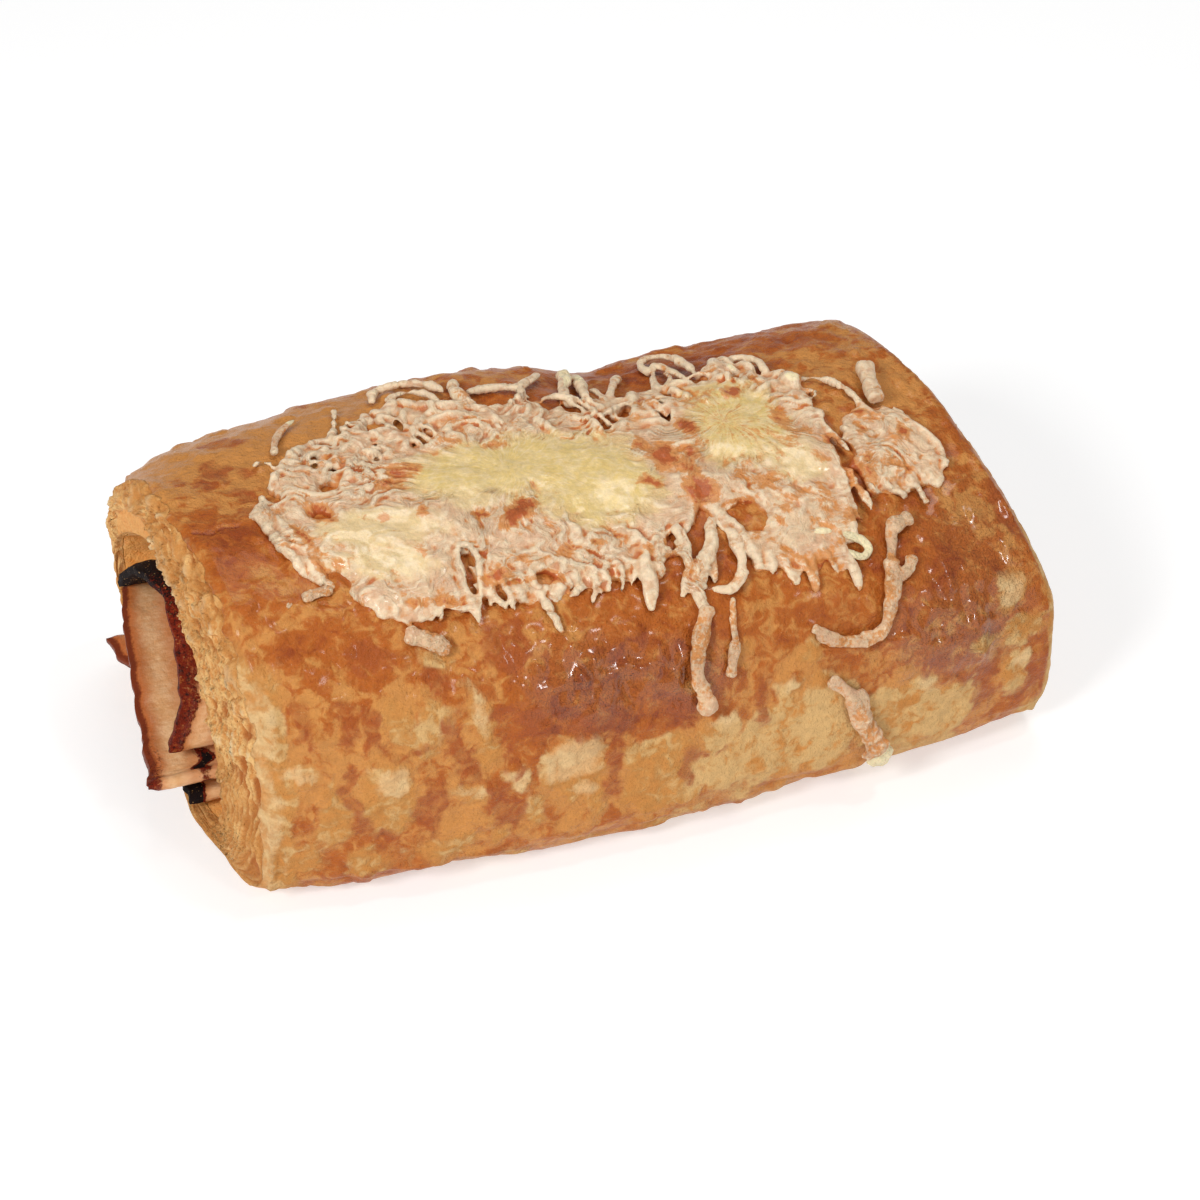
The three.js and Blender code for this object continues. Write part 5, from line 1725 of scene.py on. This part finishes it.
class PastryLook(bpy.types.PropertyGroup):
    """Sizes and colours of the pastry."""
    shred_width: bpy.props.FloatProperty(
        name="Shred width", description="Width of one shred of grated cheese, in mm",
        default=1.7, min=0.8, max=3)
    melt_grid: bpy.props.FloatProperty(
        name="Melt grid", description="Cell size of the melted cheese's skin, in mm",
        default=0.36, min=0.25, max=1)
    glaze: colour("Glaze", (0.42, 0.108, 0.015), "Egg-washed crust")
    glaze_pale: colour("Glaze pale", (0.57, 0.24, 0.06), "Thinly washed crust")
    glaze_dark: colour("Glaze dark", (0.29, 0.057, 0.010), "Crust baked dark")
    glaze_pool: colour("Glaze pooled", (0.22, 0.040, 0.012), "Where the wash has pooled")
    streak: colour("Dark streak", (0.35, 0.080, 0.016), "Streaks down the front")
    dry: colour("Dry dough", (0.53, 0.25, 0.07), "Unglazed crust")
    dry_pale: colour("Dry dough pale", (0.67, 0.43, 0.18), "Pale unglazed crust")
    # also the painted highlight on the raised flakes of the torn faces
    dry_cream_and_highlight: colour("Dry dough cream", (0.84, 0.62, 0.34), "Palest flakes of the crust")
    face: colour("Cut face", (0.84, 0.51, 0.20), "Torn layers at the ends")
    face_deep: colour("Cut face deep", (0.68, 0.30, 0.085), "Layers further in")
    # painted shade in the gaps between the torn layers
    face_gap_shade: colour("Cut face gaps", (0.46, 0.15, 0.035), "Gaps between layers")
    inside: colour("Inside", (0.90, 0.36, 0.075), "Skin inside the roll")
    inside_pale: colour("Inside pale", (0.93, 0.48, 0.145), "Palest skin inside the roll")
    cheese: colour("Cheese", (0.74, 0.50, 0.30), "Baked shreds")
    # painted highlight on the ridges of the melt
    cheese_ridge_highlight: colour("Cheese pale", (0.88, 0.71, 0.49), "Palest shreds")
    cheese_pink: colour("Cheese pink", (0.67, 0.40, 0.235), "Pinkish shreds")
    cheese_yellow: colour("Cheese yellow", (0.76, 0.545, 0.185), "Melted middle")
    cheese_butter: colour("Cheese butter", (0.81, 0.61, 0.29), "Smooth pale pools")
    cheese_raw: colour("Cheese raw", (0.90, 0.76, 0.47), "Hardly baked cheese")
    # also painted shade in the hollows of the melt, besides toasting
    cheese_orange: colour("Cheese orange", (0.66, 0.25, 0.055), "Hollows of the melt")
    # toasted spots, and painted shade in the deepest hollows of the melt
    cheese_toast_and_shade: colour("Cheese toasted", (0.46, 0.092, 0.018), "Browned spots")
    ham: colour("Ham", (0.79, 0.42, 0.175), "Face of a slice")
    ham_pale: colour("Ham pale", (0.93, 0.62, 0.34), "Palest of the face")
    # also painted shade on the face of a slice
    ham_orange: colour("Ham orange", (0.56, 0.155, 0.036), "Near the cut edge")
    ham_rim: colour("Ham rim", (0.20, 0.036, 0.011), "Browned cut edge")
    ham_red: colour("Ham red", (0.26, 0.026, 0.009), "Dark baked ham")
    ham_char: colour("Ham char", (0.014, 0.008, 0.008), "Burnt ham")
    floor: colour("Floor", (0.62, 0.62, 0.62), "Studio floor")
    glow: light("Floor glow", 0.50, "Light from the floor itself")
    sky: light("Surround", 0.25, "Brightness of the surround")
    key: light("Softbox left", 4.5, "Power of the main light", "POWER")
    top: light("Softbox above", 1.6, "Power of the upper light", "POWER")
    glint: light("Small lamps", 0.7, "Power of each small lamp", "POWER")
    fill: light("Softbox front", 1.0, "Power of the front light", "POWER")


class PASTRY_OT_crust(bpy.types.Operator):
    """Bake the roll of dough with its torn ends"""
    bl_idname = "pastry.crust"
    bl_label = "Crust"
    bl_options = {"REGISTER", "UNDO"}

    def execute(self, context):
        build_pastry(context.scene.pastry_look)
        return {"FINISHED"}


class PASTRY_OT_ham(bpy.types.Operator):
    """Lay the ham slices through the roll"""
    bl_idname = "pastry.ham"
    bl_label = "Ham slices"
    bl_options = {"REGISTER", "UNDO"}

    def execute(self, context):
        build_ham(context.scene.pastry_look)
        return {"FINISHED"}


class PASTRY_OT_melt(bpy.types.Operator):
    """Melt the grated cheese onto the top"""
    bl_idname = "pastry.melt"
    bl_label = "Melted cheese"
    bl_options = {"REGISTER", "UNDO"}

    def execute(self, context):
        build_melt(context.scene.pastry_look)
        return {"FINISHED"}


class PASTRY_OT_patch(bpy.types.Operator):
    """Lay the wrinkled patch of cheese at the right end"""
    bl_idname = "pastry.patch"
    bl_label = "Right patch"
    bl_options = {"REGISTER", "UNDO"}

    def execute(self, context):
        build_right_patch(context.scene.pastry_look)
        return {"FINISHED"}


class PASTRY_OT_strands(bpy.types.Operator):
    """Lay the strands and crumbs of cheese that lie on their own"""
    bl_idname = "pastry.strands"
    bl_label = "Lone strands"
    bl_options = {"REGISTER", "UNDO"}

    def execute(self, context):
        build_strands()
        return {"FINISHED"}


class PASTRY_OT_flakes(bpy.types.Operator):
    """Scatter loose leaves of dough over the torn faces"""
    bl_idname = "pastry.flakes"
    bl_label = "Flakes"
    bl_options = {"REGISTER", "UNDO"}

    def execute(self, context):
        build_flakes(context.scene.pastry_look)
        return {"FINISHED"}


class PASTRY_OT_stage(bpy.types.Operator):
    """Set the floor, the soft lights and the camera"""
    bl_idname = "pastry.stage"
    bl_label = "Stage"
    bl_options = {"REGISTER", "UNDO"}

    def execute(self, context):
        build_stage(context.scene.pastry_look)
        return {"FINISHED"}


STEPS = (PASTRY_OT_crust, PASTRY_OT_ham, PASTRY_OT_melt, PASTRY_OT_patch, PASTRY_OT_strands,
         PASTRY_OT_flakes, PASTRY_OT_stage)


class PASTRY_PT_panel(bpy.types.Panel):
    """Build steps and settings of the pastry"""
    bl_label = "Ham and Cheese Pastry"
    bl_idname = "PASTRY_PT_panel"
    bl_space_type = "VIEW_3D"
    bl_region_type = "UI"
    bl_category = "Pastry"

    def draw(self, context):
        for step in STEPS:
            self.layout.operator(step.bl_idname)
        for name in PastryLook.__annotations__:
            self.layout.prop(context.scene.pastry_look, name)


CLASSES = (PastryLook, *STEPS, PASTRY_PT_panel)


def register():
    for cls in CLASSES:
        bpy.utils.register_class(cls)
    bpy.types.Scene.pastry_look = bpy.props.PointerProperty(type=PastryLook)


def unregister():
    del bpy.types.Scene.pastry_look
    for cls in reversed(CLASSES):
        bpy.utils.unregister_class(cls)


def main():
    register()
    for step in STEPS:
        group, name = step.bl_idname.split(".")
        getattr(getattr(bpy.ops, group), name)()


if __name__ == "__main__":
    main()
